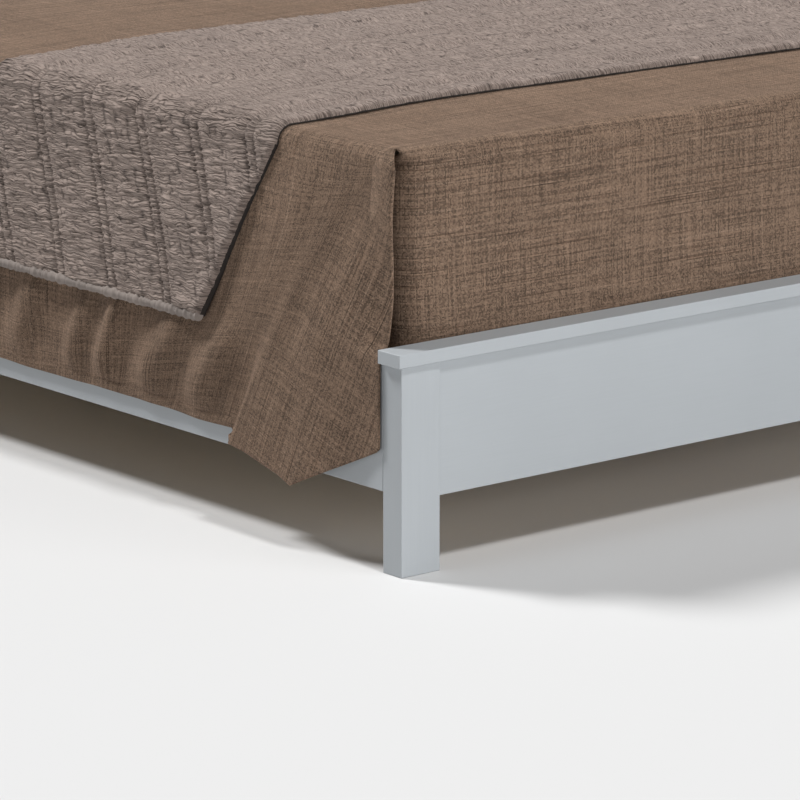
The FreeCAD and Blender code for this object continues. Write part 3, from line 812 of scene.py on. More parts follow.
class NodeTools:
    """Geometry node trees for what repeats or follows a path."""

    def __init__(self) -> None:
        """Build the trees."""
        self.stitches = self._stitches()
        self.piping = self._piping()
        self.copies = self._copies()

    @staticmethod
    def _start(
            name: str, sizes: dict[str, float], others: dict[str, str] | None = None) -> tuple[Graph, dict]:
        """Open a geometry tree with named sizes, other named inputs and a finish."""
        shape, finish = {"Geometry": "NodeSocketGeometry"}, {"Finish": "NodeSocketMaterial"}
        return open_tree("GeometryNodeTree", name, shape | sizes | (others or {}) | finish, shape)

    @staticmethod
    def _end(graph: Graph, geometry, finish) -> NodeTree:
        """Realize the instances, set the finish and close the tree.

        Args:
            graph: The tree's graph.
            geometry: Socket with the geometry.
            finish: Socket with the finish.

        Returns:
            The tree.
        """
        real = graph.node("GeometryNodeRealizeInstances", {0: geometry}).outputs[0]
        dressed = graph.node("GeometryNodeSetMaterial", {"Geometry": real, "Material": finish}).outputs[0]
        graph.node("NodeGroupOutput", {0: dressed})
        return graph.tree

    def _stitches(self) -> NodeTree:
        """Short threads along a curve.

        Returns:
            The tree.
        """
        sizes = {"Stitch Pitch": 0.004, "Stitch Length": 0.003, "Thread Radius": 0.0004}
        graph, entry = self._start("stitch_row", sizes)
        feeds = {"Curve": entry["Geometry"], "Length": entry["Stitch Pitch"]}
        points = graph.node("GeometryNodeCurveToPoints", feeds, mode="LENGTH")
        ball = graph.node("GeometryNodeMeshIcoSphere", {"Radius": 1.0, "Subdivisions": 1}).outputs[0]
        half = graph.math("MULTIPLY", entry["Stitch Length"], 0.5)
        radius = entry["Thread Radius"]
        size = graph.node("ShaderNodeCombineXYZ", {0: radius, 1: radius, 2: half}).outputs[0]
        feeds = {label: points.outputs[label] for label in ("Points", "Rotation")}
        feeds |= {"Instance": ball, "Scale": size}
        threads = graph.node("GeometryNodeInstanceOnPoints", feeds).outputs[0]
        return self._end(graph, threads, entry["Finish"])

    def _piping(self) -> NodeTree:
        """Round piping along a curve, with puckers.

        Returns:
            The tree.
        """
        sizes = {"Radius": 0.006, "Pucker": 0.2, "Pucker Scale": 60.0, "Step": 0.006}
        graph, entry = self._start("puckered_piping", sizes)
        feeds = {"Curve": entry["Geometry"], "Length": entry["Step"]}
        path = graph.node("GeometryNodeResampleCurve", feeds, mode="LENGTH").outputs[0]
        place = graph.node("GeometryNodeInputPosition").outputs[0]
        wave = graph.math("SUBTRACT", graph.noise(place, entry["Pucker Scale"], 1.0), 0.5)
        swell = graph.math("MULTIPLY_ADD", wave, graph.math("MULTIPLY", entry["Pucker"], 2.5), 1.0)
        pinch = graph.ranged(graph.math("ABSOLUTE", wave), 0.0, 0.07, 1, 0)
        swell = graph.math("MULTIPLY_ADD", pinch, graph.math("MULTIPLY", entry["Pucker"], -1.0), swell)
        ring = graph.node("GeometryNodeCurvePrimitiveCircle", {"Resolution": 10, "Radius": entry["Radius"]})
        feeds = {"Curve": path, "Profile Curve": ring.outputs[0], "Scale": swell, "Fill Caps": True}
        tube = graph.node("GeometryNodeCurveToMesh", feeds).outputs[0]
        return self._end(graph, tube, entry["Finish"])

    def _copies(self) -> NodeTree:
        """Copies of a shape on points, each turned to the point's facing vector.

        Returns:
            The tree.
        """
        graph, entry = self._start("turned_copies", {"Scale": 1.0}, {"Shape": "NodeSocketObject"})
        facing = graph.node("GeometryNodeInputNamedAttribute", {"Name": "facing"}, data_type="FLOAT_VECTOR")
        turn = graph.node("FunctionNodeAlignRotationToVector", {"Vector": facing.outputs[0]}, axis="Z")
        shape = graph.node("GeometryNodeObjectInfo", {"Object": entry["Shape"]}).outputs["Geometry"]
        feeds = {"Points": entry["Geometry"], "Instance": shape}
        feeds |= {"Rotation": turn.outputs[0], "Scale": entry["Scale"]}
        copies = graph.node("GeometryNodeInstanceOnPoints", feeds).outputs[0]
        return self._end(graph, copies, entry["Finish"])

    def sew(self, rows: Sequence[Array], name: str, stitch: Stitch, thread: Material) -> Object:
        """Rows of stitches along paths.

        Args:
            rows: Places along each row.
            name: Name of the piece.
            stitch: Sizes of the stitches.
            thread: Finish of the thread.

        Returns:
            The new piece.
        """
        values = {"Stitch Pitch": stitch.pitch, "Stitch Length": stitch.length}
        values |= {"Thread Radius": stitch.radius, "Finish": thread}
        return self.grown(self.stitches, path_object(rows), name, values)

    def pipe(self, source: Object, name: str, piping: Piping, finish: Material) -> Object:
        """Piping along the paths of a curve object, which is removed."""
        sizes = {"Radius": piping.radius, "Pucker": piping.pucker, "Pucker Scale": piping.pucker_scale}
        return self.grown(self.piping, source, name, sizes | {"Step": piping.step, "Finish": finish})

    @staticmethod
    def grown(tree: NodeTree, source: Object, name: str, values: dict) -> Object:
        """Run a tree on a source object and keep the result as a plain mesh piece.

        Args:
            tree: The geometry tree.
            source: Object that feeds the tree. It is removed.
            name: Name of the piece.
            values: Input name to value.

        Returns:
            The new piece.
        """
        modifier = source.modifiers.new(name, "NODES")
        modifier.node_group = tree
        for item in tree.interface.items_tree:
            if item.in_out == "INPUT" and item.name in values:
                modifier[item.identifier] = values[item.name]
        source.update_tag()
        depsgraph = bpy.context.evaluated_depsgraph_get()
        mesh = bpy.data.meshes.new_from_object(source.evaluated_get(depsgraph))
        mesh.name = name
        bpy.data.objects.remove(source)
        mesh.shade_smooth()
        return linked(name, mesh)


def path_object(paths: Sequence[Array], closed: bool = False) -> Object:
    """Curve object with one straight-segment path for each array of points.

    Args:
        paths: Places along each path.
        closed: Whether each path is a loop.

    Returns:
        The curve object.
    """
    curve = bpy.data.curves.new("path", "CURVE")
    curve.dimensions = "3D"
    for points in paths:
        spline = curve.splines.new("POLY")
        spline.points.add(len(points) - 1)
        spline.points.foreach_set("co", np.column_stack([points, np.ones(len(points))]).ravel())
        spline.use_cyclic_u = closed
    return linked("path", curve)


@dataclass(frozen=True)
class BedPlaces:
    """Places on the frame that the bedding is laid on."""

    rail_outer: float
    rail_top: float
    foot_back: float
    mattress_half: float
    mattress_foot: float
    mattress_head: float
    mattress_bottom: float
    mattress_edge: float
    crown: float = 10 * MM

    @classmethod
    def from_frame(cls) -> "BedPlaces":
        """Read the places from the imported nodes.

        Returns:
            The places.
        """
        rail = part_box("side_rail_right")[1]
        low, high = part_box("mattress")
        foot_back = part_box("foot_leg_left")[1].y
        return cls(rail.x, rail.z, foot_back, high.x, low.y, high.y, low.z, high.z - cls.crown)

    def crown_at(self, x: Array, y: Array) -> Array:
        """Rise of the mattress top above its edge.

        Args:
            x: Places across the bed.
            y: Places along the bed.

        Returns:
            The rises.
        """
        ease = 0.35
        across = smooth_step(0, ease, self.mattress_half - np.abs(x))
        along = smooth_step(0, ease, np.minimum(y - self.mattress_foot, self.mattress_head - y))
        return self.crown * across * along

    def corner_set_back(self, x: Array) -> Array:
        """How far the foot end falls back towards its corners."""
        reach, fall = 14 * MM, 110 * MM
        return reach * np.exp(-np.maximum(0, self.mattress_half - np.abs(x)) / fall)


@dataclass(frozen=True)
class Fold:
    """A soft ridge, or valley where the rise is negative, along a line on hanging cloth.

    A place is the distance from the footboard's back and the height.
    """

    upper: Place
    lower: Place
    width: float
    rise: float

    def lift(self, from_foot: Array, height: Array) -> Array:
        """How far the fold lifts the cloth at each place.

        Args:
            from_foot: Distances from the footboard's back.
            height: Heights.

        Returns:
            The lifts.
        """
        run, fall = self.lower[0] - self.upper[0], self.lower[1] - self.upper[1]
        length = math.hypot(run, fall)
        beside, down = from_foot - self.upper[0], height - self.upper[1]
        along = (beside * run + down * fall) / length ** 2
        across = (beside * fall - down * run) / length
        fade = smooth_step(-0.15, 0.3, along) * (1 - smooth_step(0.7, 1.15, along))
        return self.rise * fade * np.exp(-(across / self.width) ** 2)


@dataclass
class Bedspread:
    """Linen bedspread, tucked in behind the footboard, with hanging sides and a flap at each foot corner.

    Places on a side are distances from the footboard's back and heights, and so are the spans of the eases.
    """

    places: BedPlaces
    palette: Palette
    tools: NodeTools
    thickness: float = 2.2 * MM
    lay: float = 3.4 * MM
    shoulder: float = 25.4 * MM
    front_edge: float = 3.5 * MM
    upper_front: float = 5.5 * MM
    cap_band: Span = (0.322, 0.345)
    upper_band: Span = (0.345, 0.60)
    cap_share: float = 0.6
    hem_height: float = 160 * MM
    hem_wave: Ripple = Ripple(0.0025, (0.09, 1.0), (0.0, 3.3))
    hem_step: float = 4 * MM
    tuck_height: float = 318 * MM
    rail_ease: float = 5.5 * MM
    knee_above_rail: float = 10 * MM
    rail_band: float = 4 * MM
    rail_gap: float = 0.6 * MM
    hang_bend: float = 0.35
    low_lean: float = 0.0015 / 0.18
    fullness: float = 0.9
    full_start: Span = (0.0, 0.16)
    full_end: Span = (0.27, 0.39)
    full_lean: float = 0.47
    pull: float = 11 * MM
    pull_start: Span = (0.331, 0.347)
    pull_fade: Span = (0.37, 0.58)
    flare: float = 9 * MM
    flare_run: float = 36 * MM
    flare_rise: Span = (0.40, 0.56)
    flap_outline: tuple[Place, ...] = (
        (0.0, 0.191), (0.190, 0.104), (0.222, 0.116), (0.310, 0.135), (0.355, 0.141))
    flap_end: float = 0.359
    flap_reach: float = 22 * MM
    flap_start: Span = (0.0, 0.17)
    flap_fade: Span = (0.08, 0.66)
    flap_turn: float = math.radians(22)
    turn_start: Span = (0.0, 0.05)
    turn_fade: Span = (math.radians(25), math.radians(64))
    tip_radius: float = 12 * MM
    ridge_foot: Place = (0.349, 0.147)
    ridge_lean: float = 0.47
    ridge_soft: Span = (0.15, 0.55)
    ridge_spread: Span = (0.008, 0.05)
    side_ripples: tuple[Ripple, Ripple] = (Ripple(0.0016, (0.13, 0.35)), Ripple(0.0008, (0.05, 0.16)))
    ripple_start: Span = (0.01, 0.10)
    ripple_drop: Span = (0.0, 0.12)
    right_shift: float = 40.0
    top_ripples: tuple[Ripple, Ripple] = (
        Ripple(0.0012, (0.16, 0.21)), Ripple(0.00048, (0.06, 0.07), (9.0, 0.0)))
    top_inner: Span = (0.0, 0.12)
    roll: float = 3.4 * MM
    low_roll: float = 2.0 * MM
    roll_band: Span = (0.33, 0.36)
    roll_backs: Span = (0.05, 0.02)
    turn_back: float = 12 * MM
    stitch: Stitch = Stitch(0.0042, 0.003, 0.00045)
    stitch_above_hem: float = 15.5 * MM
    band_rise: float = 1.0 * MM
    band_edge: Span = (0.010, 0.016)
    seam_depth: float = 1.3 * MM
    seam_half: float = 2.6 * MM
    sewn_ease: Span = (-0.006, 0.010)
    meet_run: float = 30 * MM
    corner_run: float = 40 * MM
    corner_steps: tuple[float, ...] = (0, 0.1, 0.25, 0.45, 0.7)
    corner_radius: float = 44 * MM
    corner_inset: float = 5 * MM
    corner_drop: float = 3 * MM
    corner_tuck: tuple[Place, ...] = (
        (0.0008, 0.0310), (0.0012, 0.0380), (0.0010, 0.0480), (0.0006, 0.0600), (0.0004, 0.0720))
    steepest: float = 0.97
    foot_ease: Span = (0.0, 0.024)
    foot_lean: float = 6 * MM
    foot_lean_band: Span = (0.47, 0.12)
    foot_lean_most: float = 1.05
    foot_ripple: Ripple = Ripple(0.0012, (0.09, 0.13), (5.0, 0.0))
    foot_creases: tuple[Fold, ...] = (
        Fold((-0.447, 0.50), (-0.440, 0.30), 0.014, 0.003),
        Fold((-0.352, 0.47), (-0.360, 0.30), 0.012, 0.0025),
    )
    near_folds: tuple[Fold, ...] = (
        Fold((0.062, 0.60), (0.215, 0.30), 0.034, -0.0075),
        Fold((0.190, 0.62), (0.315, 0.30), 0.042, 0.0080),
        Fold((0.356, 0.318), (0.466, 0.178), 0.033, 0.0180),
        Fold((0.470, 0.322), (0.602, 0.182), 0.036, 0.0190),
    )

    def __post_init__(self) -> None:
        """Set the folds of both sides."""
        self.noise = SmoothNoise(11)
        near = list(self.near_folds)
        left, right = self._chance_folds(5, 0.64), self._chance_folds(8, 0.50)
        self.folds = {Side.LEFT: near + left, Side.RIGHT: near[:3] + right}

    @staticmethod
    def _chance_folds(seed: int, start: float) -> list[Fold]:
        """Leaning folds along the rest of a side.

        Args:
            seed: Seed of the draw.
            start: Distance of the first fold from the footboard.

        Returns:
            The folds.
        """
        draw = np.random.default_rng(seed)
        usual_top, foot, end = 0.30, 0.178, 2.0
        folds, place = [], start
        while place < end:
            top = usual_top + draw.uniform(-0.02, 0.04)
            rise = draw.uniform(0.013, 0.021)
            lower = (place + draw.uniform(0.05, 0.09), foot)
            folds.append(Fold((place, top), lower, draw.uniform(0.024, 0.033), rise))
            place += draw.uniform(0.10, 0.14)
        return folds

    def hem(self, from_foot: Array) -> Array:
        """Height of the lower edge at a distance from the footboard.

        Args:
            from_foot: Distances from the footboard's back.

        Returns:
            The heights.
        """
        beside, heights = zip(*self.flap_outline)
        flap = np.interp(from_foot, beside, heights)
        corner = self.tip_radius
        inside = np.clip(corner - from_foot, 0, corner) / corner
        round_off = corner * (1 - np.sqrt(np.clip(1 - inside ** 2, 0, 1)))
        wave = self.hem_wave.at(self.noise, from_foot, from_foot * 0)
        behind = smooth_step(self.flap_end - self.hem_step, self.flap_end + self.hem_step, from_foot)
        return (flap + 0.5 * round_off) * (1 - behind) + (self.hem_height + wave) * behind

    def _hang(self, from_foot: Array, height: Array) -> Array:
        """Reach of the plain hang, which is fuller between the foot corner and the quilt.

        Args:
            from_foot: Distances from the footboard's back.
            height: Heights.

        Returns:
            Distances along X from the bed's middle.
        """
        places, top = self.places, self.shoulder_height
        start, over = places.mattress_half + self.lay, places.rail_outer + self.rail_ease
        knee = places.rail_top + self.knee_above_rail
        share = np.clip((top - height) / (top - knee), 0, None)
        under_quilt = smooth_step(*self.full_end, from_foot - self.full_lean * (top - height))
        full = smooth_step(*self.full_start, from_foot) * (1 - under_quilt)
        fuller = self.fullness * share * np.clip(1 - share, 0, 1) * full
        bowed = self.hang_bend * share ** 2 + (1 - self.hang_bend) * share + fuller
        below = over + self.low_lean * (knee - height)
        return np.where(height > knee, start + (over - start) * bowed, below)

    def _edge_sway(self, from_foot: Array, height: Array) -> Array:
        """How far the front edge flares out above the cap and is pulled in at it."""
        pulled = (1 - smooth_step(*self.pull_fade, height)) * smooth_step(*self.pull_start, height)
        beside = np.exp(-((from_foot - self.front_edge) / self.flare_run) ** 2)
        return (self.flare * smooth_step(*self.flare_rise, height) - self.pull * pulled) * beside

    def _flap_lift(self, from_foot: Array, height: Array) -> Array:
        """How far the corner flap stands out, up to its leaning ridge.

        Args:
            from_foot: Distances from the footboard's back.
            height: Heights.

        Returns:
            The lifts along X.
        """
        ridge = self.ridge_foot[0] - self.ridge_lean * (height - self.ridge_foot[1])
        spread = self.ridge_spread[0] + self.ridge_spread[1] * smooth_step(*self.ridge_soft, height)
        flap = smooth_step(-spread, spread, ridge - from_foot) * smooth_step(*self.flap_start, from_foot)
        return flap * self.flap_reach * (1 - smooth_step(*self.flap_fade, height))

    def _sewn(self, from_foot: Array, height: Array) -> Array:
        """Relief of the sewn hem: a doubled band and the groove of its stitches.

        Args:
            from_foot: Distances from the footboard's back.
            height: Heights.

        Returns:
            The lifts along X.
        """
        above = height - self.hem(from_foot)
        band = self.band_rise * (1 - smooth_step(*self.band_edge, above))
        seam = self.seam_depth * np.exp(-((above - self.stitch_above_hem) / self.seam_half) ** 2)
        start, end = (self.flap_end + ease for ease in self.sewn_ease)
        return (band - seam) * smooth_step(start, end, from_foot)

    def side_reach(self, from_foot: Array, height: Array, side: Side) -> Array:
        """Distance of the hanging cloth's outer face from the bed's middle plane.

        Args:
            from_foot: Distances from the footboard's back.
            height: Heights.
            side: Side of the bed.

        Returns:
            The distances along X.
        """
        reach = self._hang(from_foot, height) + self._edge_sway(from_foot, height)
        reach = reach + self._flap_lift(from_foot, height)
        for fold in self.folds[side]:
            reach = reach + fold.lift(from_foot, height)
        shift = self.right_shift if side is Side.RIGHT else 0.0
        broad, narrow = self.side_ripples
        soft = broad.at(self.noise, from_foot, height, (shift, 0.0))
        soft = soft + narrow.at(self.noise, from_foot, height, (0.0, shift))
        soft = soft * smooth_step(*self.ripple_start, from_foot)
        soft = soft * smooth_step(*self.ripple_drop, self.shoulder_height - height)
        reach = reach + soft + self._sewn(from_foot, height)
        least = self.places.rail_outer + 2 * self.low_roll + self.rail_gap
        return np.maximum(reach, np.where(height < self.places.rail_top + self.rail_band, least, 0))

    def _front_at(self, height: Array) -> Array:
        """Distance of a side's front edge from the footboard, less below the cap."""
        above = self.cap_share * smooth_step(*self.cap_band, height)
        above = above + (1 - self.cap_share) * smooth_step(*self.upper_band, height)
        return self.front_edge + (self.upper_front - self.front_edge) * above

    @property
    def edge_top(self) -> float:
        """Height of the cloth's outer face along the mattress edge."""
        return self.places.mattress_edge + self.lay

    @property
    def shoulder_height(self) -> float:
        """Height at which the rounded shoulder ends."""
        return self.edge_top - self.shoulder

    def top_height(self, x: Array, y: Array) -> Array:
        """Height of the cloth on the mattress top."""
        soft = sum(ripple.at(self.noise, x, y) for ripple in self.top_ripples)
        inner = smooth_step(*self.top_inner, self.places.mattress_half - self.shoulder - np.abs(x))
        return self.edge_top + self.places.crown_at(x, y) + soft * inner

    def _side_flat(self, from_foot: Array, drop: Array) -> tuple[Array, Array]:
        """Flat cloth coordinates on a side, with the flap's threads turned about the mattress corner.

        Args:
            from_foot: Distances from the footboard's back.
            drop: Distances below the top edge, along the cloth.

        Returns:
            Flat distances below the top edge and from the foot.
        """
        least_drop = 0.1 * MM
        beside = from_foot - self.front_edge
        radius, angle = np.hypot(beside, drop), np.arctan2(beside, np.maximum(drop, least_drop))
        turn = self.flap_turn * (1 - smooth_step(*self.turn_fade, angle))
        flat = angle - turn * smooth_step(*self.turn_start, drop)
        return radius * np.cos(flat), radius * np.sin(flat) + self.front_edge

    @staticmethod
    def _main_rows() -> tuple[Array, Array]:
        """Row shares of a side, from hem to shoulder, and shoulder angles from side to top."""
        hem_share = 0.94
        shares = np.concatenate([np.linspace(1, hem_share, 12), np.linspace(hem_share, 0, 52)[1:]])
        return shares, np.linspace(QUARTER_TURN, 0, 9)

    def _columns(self) -> Array:
        """Distances from the footboard at which the main grid has columns.

        Returns:
            The distances.
        """
        margin, near_end, last_gap = 0.012, 0.72, 0.004
        last = self.places.mattress_head - self.places.foot_back - 1 * MM
        ends = (self.front_edge, self.flap_end - margin, self.flap_end + margin, near_end, last - last_gap)
        steps = (0.0060, 0.002, 0.0075, 0.0165)
        parts = [np.arange(start, end, step) for start, end, step in zip(ends, ends[1:], steps)]
        return np.concatenate([*parts, [last]])

    def _side(self, cloth: ClothMesh, side: Side, columns: Array) -> Array:
        """Add one hanging side with its shoulder, rolled hem and rolled front edge.

        Args:
            cloth: Mesh that the grids go into.
            side: Side of the bed.
            columns: Distances from the footboard.

        Returns:
            Places along the row where the shoulder meets the top.
        """
        places, sign = self.places, side.value
        shares, angles = self._main_rows()
        top_front = places.mattress_foot + self.shoulder - self.lay - places.foot_back
        meet = top_front + self.meet_run
        low = columns[None, :]
        near = np.clip((meet - low) / (meet - self.front_edge), 0, 1)
        height = self.shoulder_height - shares[:, None] * (self.shoulder_height - self.hem(low))
        from_foot = low + (self._front_at(height) - self.front_edge) * near
        reach = self.side_reach(from_foot, height, side)
        drop = self.shoulder_height - height + self.shoulder * QUARTER_TURN
        front = self.upper_front + (top_front - self.upper_front) * (1 - np.sin(angles[1:]))[:, None]
        round_foot = low + (front - self.front_edge) * near
        around = np.broadcast_to(angles[1:, None], round_foot.shape)
        rise = self.top_height(np.full_like(round_foot, places.mattress_half), round_foot + places.foot_back)
        round_reach = places.mattress_half + self.lay - self.shoulder * (1 - np.sin(around))
        flared = np.exp(-((round_foot - front) / self.flare_run) ** 2)
        round_reach = round_reach + self.flare * flared * np.sin(around)
        round_height = rise - self.shoulder * (1 - np.cos(around))
        all_foot = np.concatenate([from_foot, round_foot])
        all_reach = np.concatenate([reach, round_reach])
        all_height = np.concatenate([height, round_height])
        all_drop = np.concatenate([drop, self.shoulder * around])
        points = np.stack([sign * all_reach, all_foot + places.foot_back, all_height], axis=-1)
        down, beside = self._side_flat(all_foot, all_drop)
        flat = np.stack([sign * (down + places.mattress_half), beside], axis=-1)
        flip = side is Side.LEFT
        cloth.add(points, flat, flip)
        self._hem_roll(cloth, points[0], flat[0], side)
        self._front_roll(cloth, points[:, 0], flat[:, 0], side)
        return points[-1]

    def _hem_roll(self, cloth: ClothMesh, edge: Array, flat: Array, side: Side) -> None:
        """Turn a side's lower edge under, as a hem.

        Args:
            cloth: Mesh that the grid goes into.
            edge: Places along the edge.
            flat: Their flat coordinates.
            side: Side of the bed.
        """
        radius, sign = self.low_roll, side.value
        turns = np.linspace(math.pi, 0, 6)
        steps = [(-2 * radius, self.turn_back)]
        steps += [(radius * (math.cos(t) - 1), -radius * math.sin(t)) for t in turns]
        lengths = [self.turn_back + math.pi * radius, *(radius * turns)]
        rows = [edge + np.array([sign * out, 0, up]) for out, up in steps]
        flats = [flat + np.array([sign * length, 0]) for length in lengths]
        cloth.add(np.stack(rows), np.stack(flats), side is Side.LEFT)

    def _front_roll(self, cloth: ClothMesh, edge: Array, flat: Array, side: Side) -> None:
        """Fold a side's front edge back behind itself.

        Args:
            cloth: Mesh that the grid goes into.
            edge: Places along the edge.
            flat: Their flat coordinates.
            side: Side of the bed.
        """
        sign = side.value
        tangent = np.gradient(edge, axis=0)
        normal = np.stack([tangent[:, 2] * sign, np.zeros(len(edge)), -tangent[:, 0] * sign], axis=-1)
        normal /= np.linalg.norm(normal, axis=1)[:, None]
        normal *= np.where(normal[:, :1] * sign + normal[:, 2:] < 0, -1, 1)
        radius = self.low_roll + (self.roll - self.low_roll) * smooth_step(*self.roll_band, edge[:, 2])
        count = len(self._main_rows()[1])
        radius[-count:] *= np.linspace(1, 0, count)
        radius = radius[:, None]
        forward = np.array([0, -1.0, 0])
        columns, flats = [], []
        for turn in np.linspace(math.pi, 0, 7):
            columns.append(edge + normal * radius * (math.cos(turn) - 1) + forward * radius * math.sin(turn))
            flats.append(flat - np.hstack([0 * radius, radius * turn]))
        behind = [columns[0] - forward * back * radius / self.roll for back in self.roll_backs]
        behind_flats = [flats[0] - [0, back] for back in self.roll_backs]
        points = np.stack(behind + columns, axis=1)
        cloth.add(points, np.stack(behind_flats + flats, axis=1), side is Side.LEFT)

    def _top(self, cloth: ClothMesh, left: Array, right: Array) -> Array:
        """Add the part on the mattress top.

        Args:
            cloth: Mesh that the grid goes into.
            left: Places where the left shoulder ends.
            right: Places where the right shoulder ends.

        Returns:
            Distances along X of its rows.
        """
        half = -left[0, 0]
        turn = self.corner_run * np.array(self.corner_steps)
        across = np.linspace(-half + self.corner_run, half - self.corner_run, 46)
        across = np.concatenate([-half + turn, across, half - turn[::-1]])
        y = np.broadcast_to(left[None, :, 1], (len(across), left.shape[0]))
        x = np.broadcast_to(across[:, None], y.shape)
        points = np.stack([x, y, self.top_height(x, y)], axis=-1)
        points[0], points[-1] = left, right
        cloth.add(points, np.stack([x, y - self.places.foot_back], axis=-1), True)
        return across

    def _foot(self, cloth: ClothMesh, across: Array, front: float) -> None:
        """Add the foot end: over the shoulder, round the corners and down behind the cap.

        Args:
            cloth: Mesh that the grid goes into.
            across: Places of the top's rows along X.
            front: Place along Y where the top ends.
        """
        places = self.places
        face = places.mattress_foot - self.lay
        half = across[-1]
        tuck = np.array(self.corner_tuck)
        wide = np.concatenate([-tuck[::-1, 0] - half, across, half + tuck[:, 0]])
        round_run = np.clip(np.abs(across) - half + self.corner_run, 0, None)
        rounded = self.corner_radius - np.sqrt(self.corner_radius ** 2 - round_run ** 2)
        set_back = places.corner_set_back(np.clip(wide, -half, half))
        set_back = set_back + np.concatenate([tuck[::-1, 1], rounded, tuck[:, 1]])
        beyond = np.maximum(0, np.abs(wide) - half)
        near_end = smooth_step(half - self.corner_run, half, np.abs(wide))
        drawn_in = np.sign(wide) * self.corner_inset * near_end
        angles = np.linspace(0, QUARTER_TURN, 9)
        heights = np.linspace(self.shoulder_height, self.tuck_height, 46)[1:]
        top = self.top_height(np.clip(wide, -half, half), np.full_like(wide, front))
        slope = np.sqrt(1 - np.clip(beyond / self.shoulder, 0, self.steepest) ** 2)
        top = top - self.shoulder * (1 - slope) - np.where(beyond > 0, self.corner_drop, 0)
        tall = top - self.shoulder_height
        levels = []
        for turn in angles:
            y = front - (front - face) * math.sin(turn)
            levels.append((y, self.shoulder_height + tall * math.cos(turn)))
        levels += [(face, np.full_like(wide, z)) for z in heights]
        rows = []
        for y, z in levels:
            below = smooth_step(*self.foot_ease, self.edge_top - self.corner_drop - z)
            back = (set_back + self._foot_soft(wide, z)) * below
            rows.append(np.stack([wide - drawn_in * below, y + back, z], axis=-1))
        points = np.stack(rows)
        curve = self.shoulder * angles
        stride = np.concatenate([curve, curve[-1] + self.shoulder_height - heights])
        run = run_along(np.column_stack([wide, set_back]))
        run = run - run[len(run) // 2]
        flat = np.stack(np.meshgrid(run, front - places.foot_back - stride), axis=-1)
        cloth.add(points, flat, True)

    def _foot_soft(self, x: Array, z: Array) -> Array:
        """How far the foot end's cloth lies back in its soft creases above the cap.

        Args:
            x: Places across the bed.
            z: Heights.

        Returns:
            Distances along Y.
        """
        start, run = self.foot_lean_band
        resting = -self.foot_lean * np.clip((start - z) / run, 0, self.foot_lean_most) ** 2
        creases = sum(crease.lift(x, z) for crease in self.foot_creases)
        return resting + creases + self.foot_ripple.at(self.noise, x, z)

    def _hem_stitching(self) -> Object:
        """Stitch rows above the hem of both sides.

        Returns:
            The stitches as one piece.
        """
        start_gap, end_gap, step, proud = 0.012, 0.004, 0.008, 0.0001
        foot_back, rows = self.places.foot_back, []
        for side in Side:
            end = self.places.mattress_head - foot_back - end_gap
            from_foot = np.arange(self.flap_end + start_gap, end, step)
            height = self.hem(from_foot) + self.stitch_above_hem
            reach = self.side_reach(from_foot, height, side) + proud
            rows.append(np.column_stack([side.value * reach, from_foot + foot_back, height]))
        return self.tools.sew(rows, "bedspread_hem_stitches", self.stitch, self.palette.linen_thread)

    def build(self) -> None:
        """Make the bedspread and its hem stitches."""
        cloth = ClothMesh()
        columns = self._columns()
        left = self._side(cloth, Side.LEFT, columns)
        right = self._side(cloth, Side.RIGHT, columns)
        across = self._top(cloth, left, right)
        self._foot(cloth, across, left[0, 1])
        piece = cloth.build("bedspread_linen", self.palette.linen, thickness=self.thickness)
        stitches = self._hem_stitching()
        for each in (piece, stitches):
            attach(each, "platform")
        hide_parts("bedspread")
        log.info("bedspread: %d triangles, %d in stitches", triangles(piece), triangles(stitches))


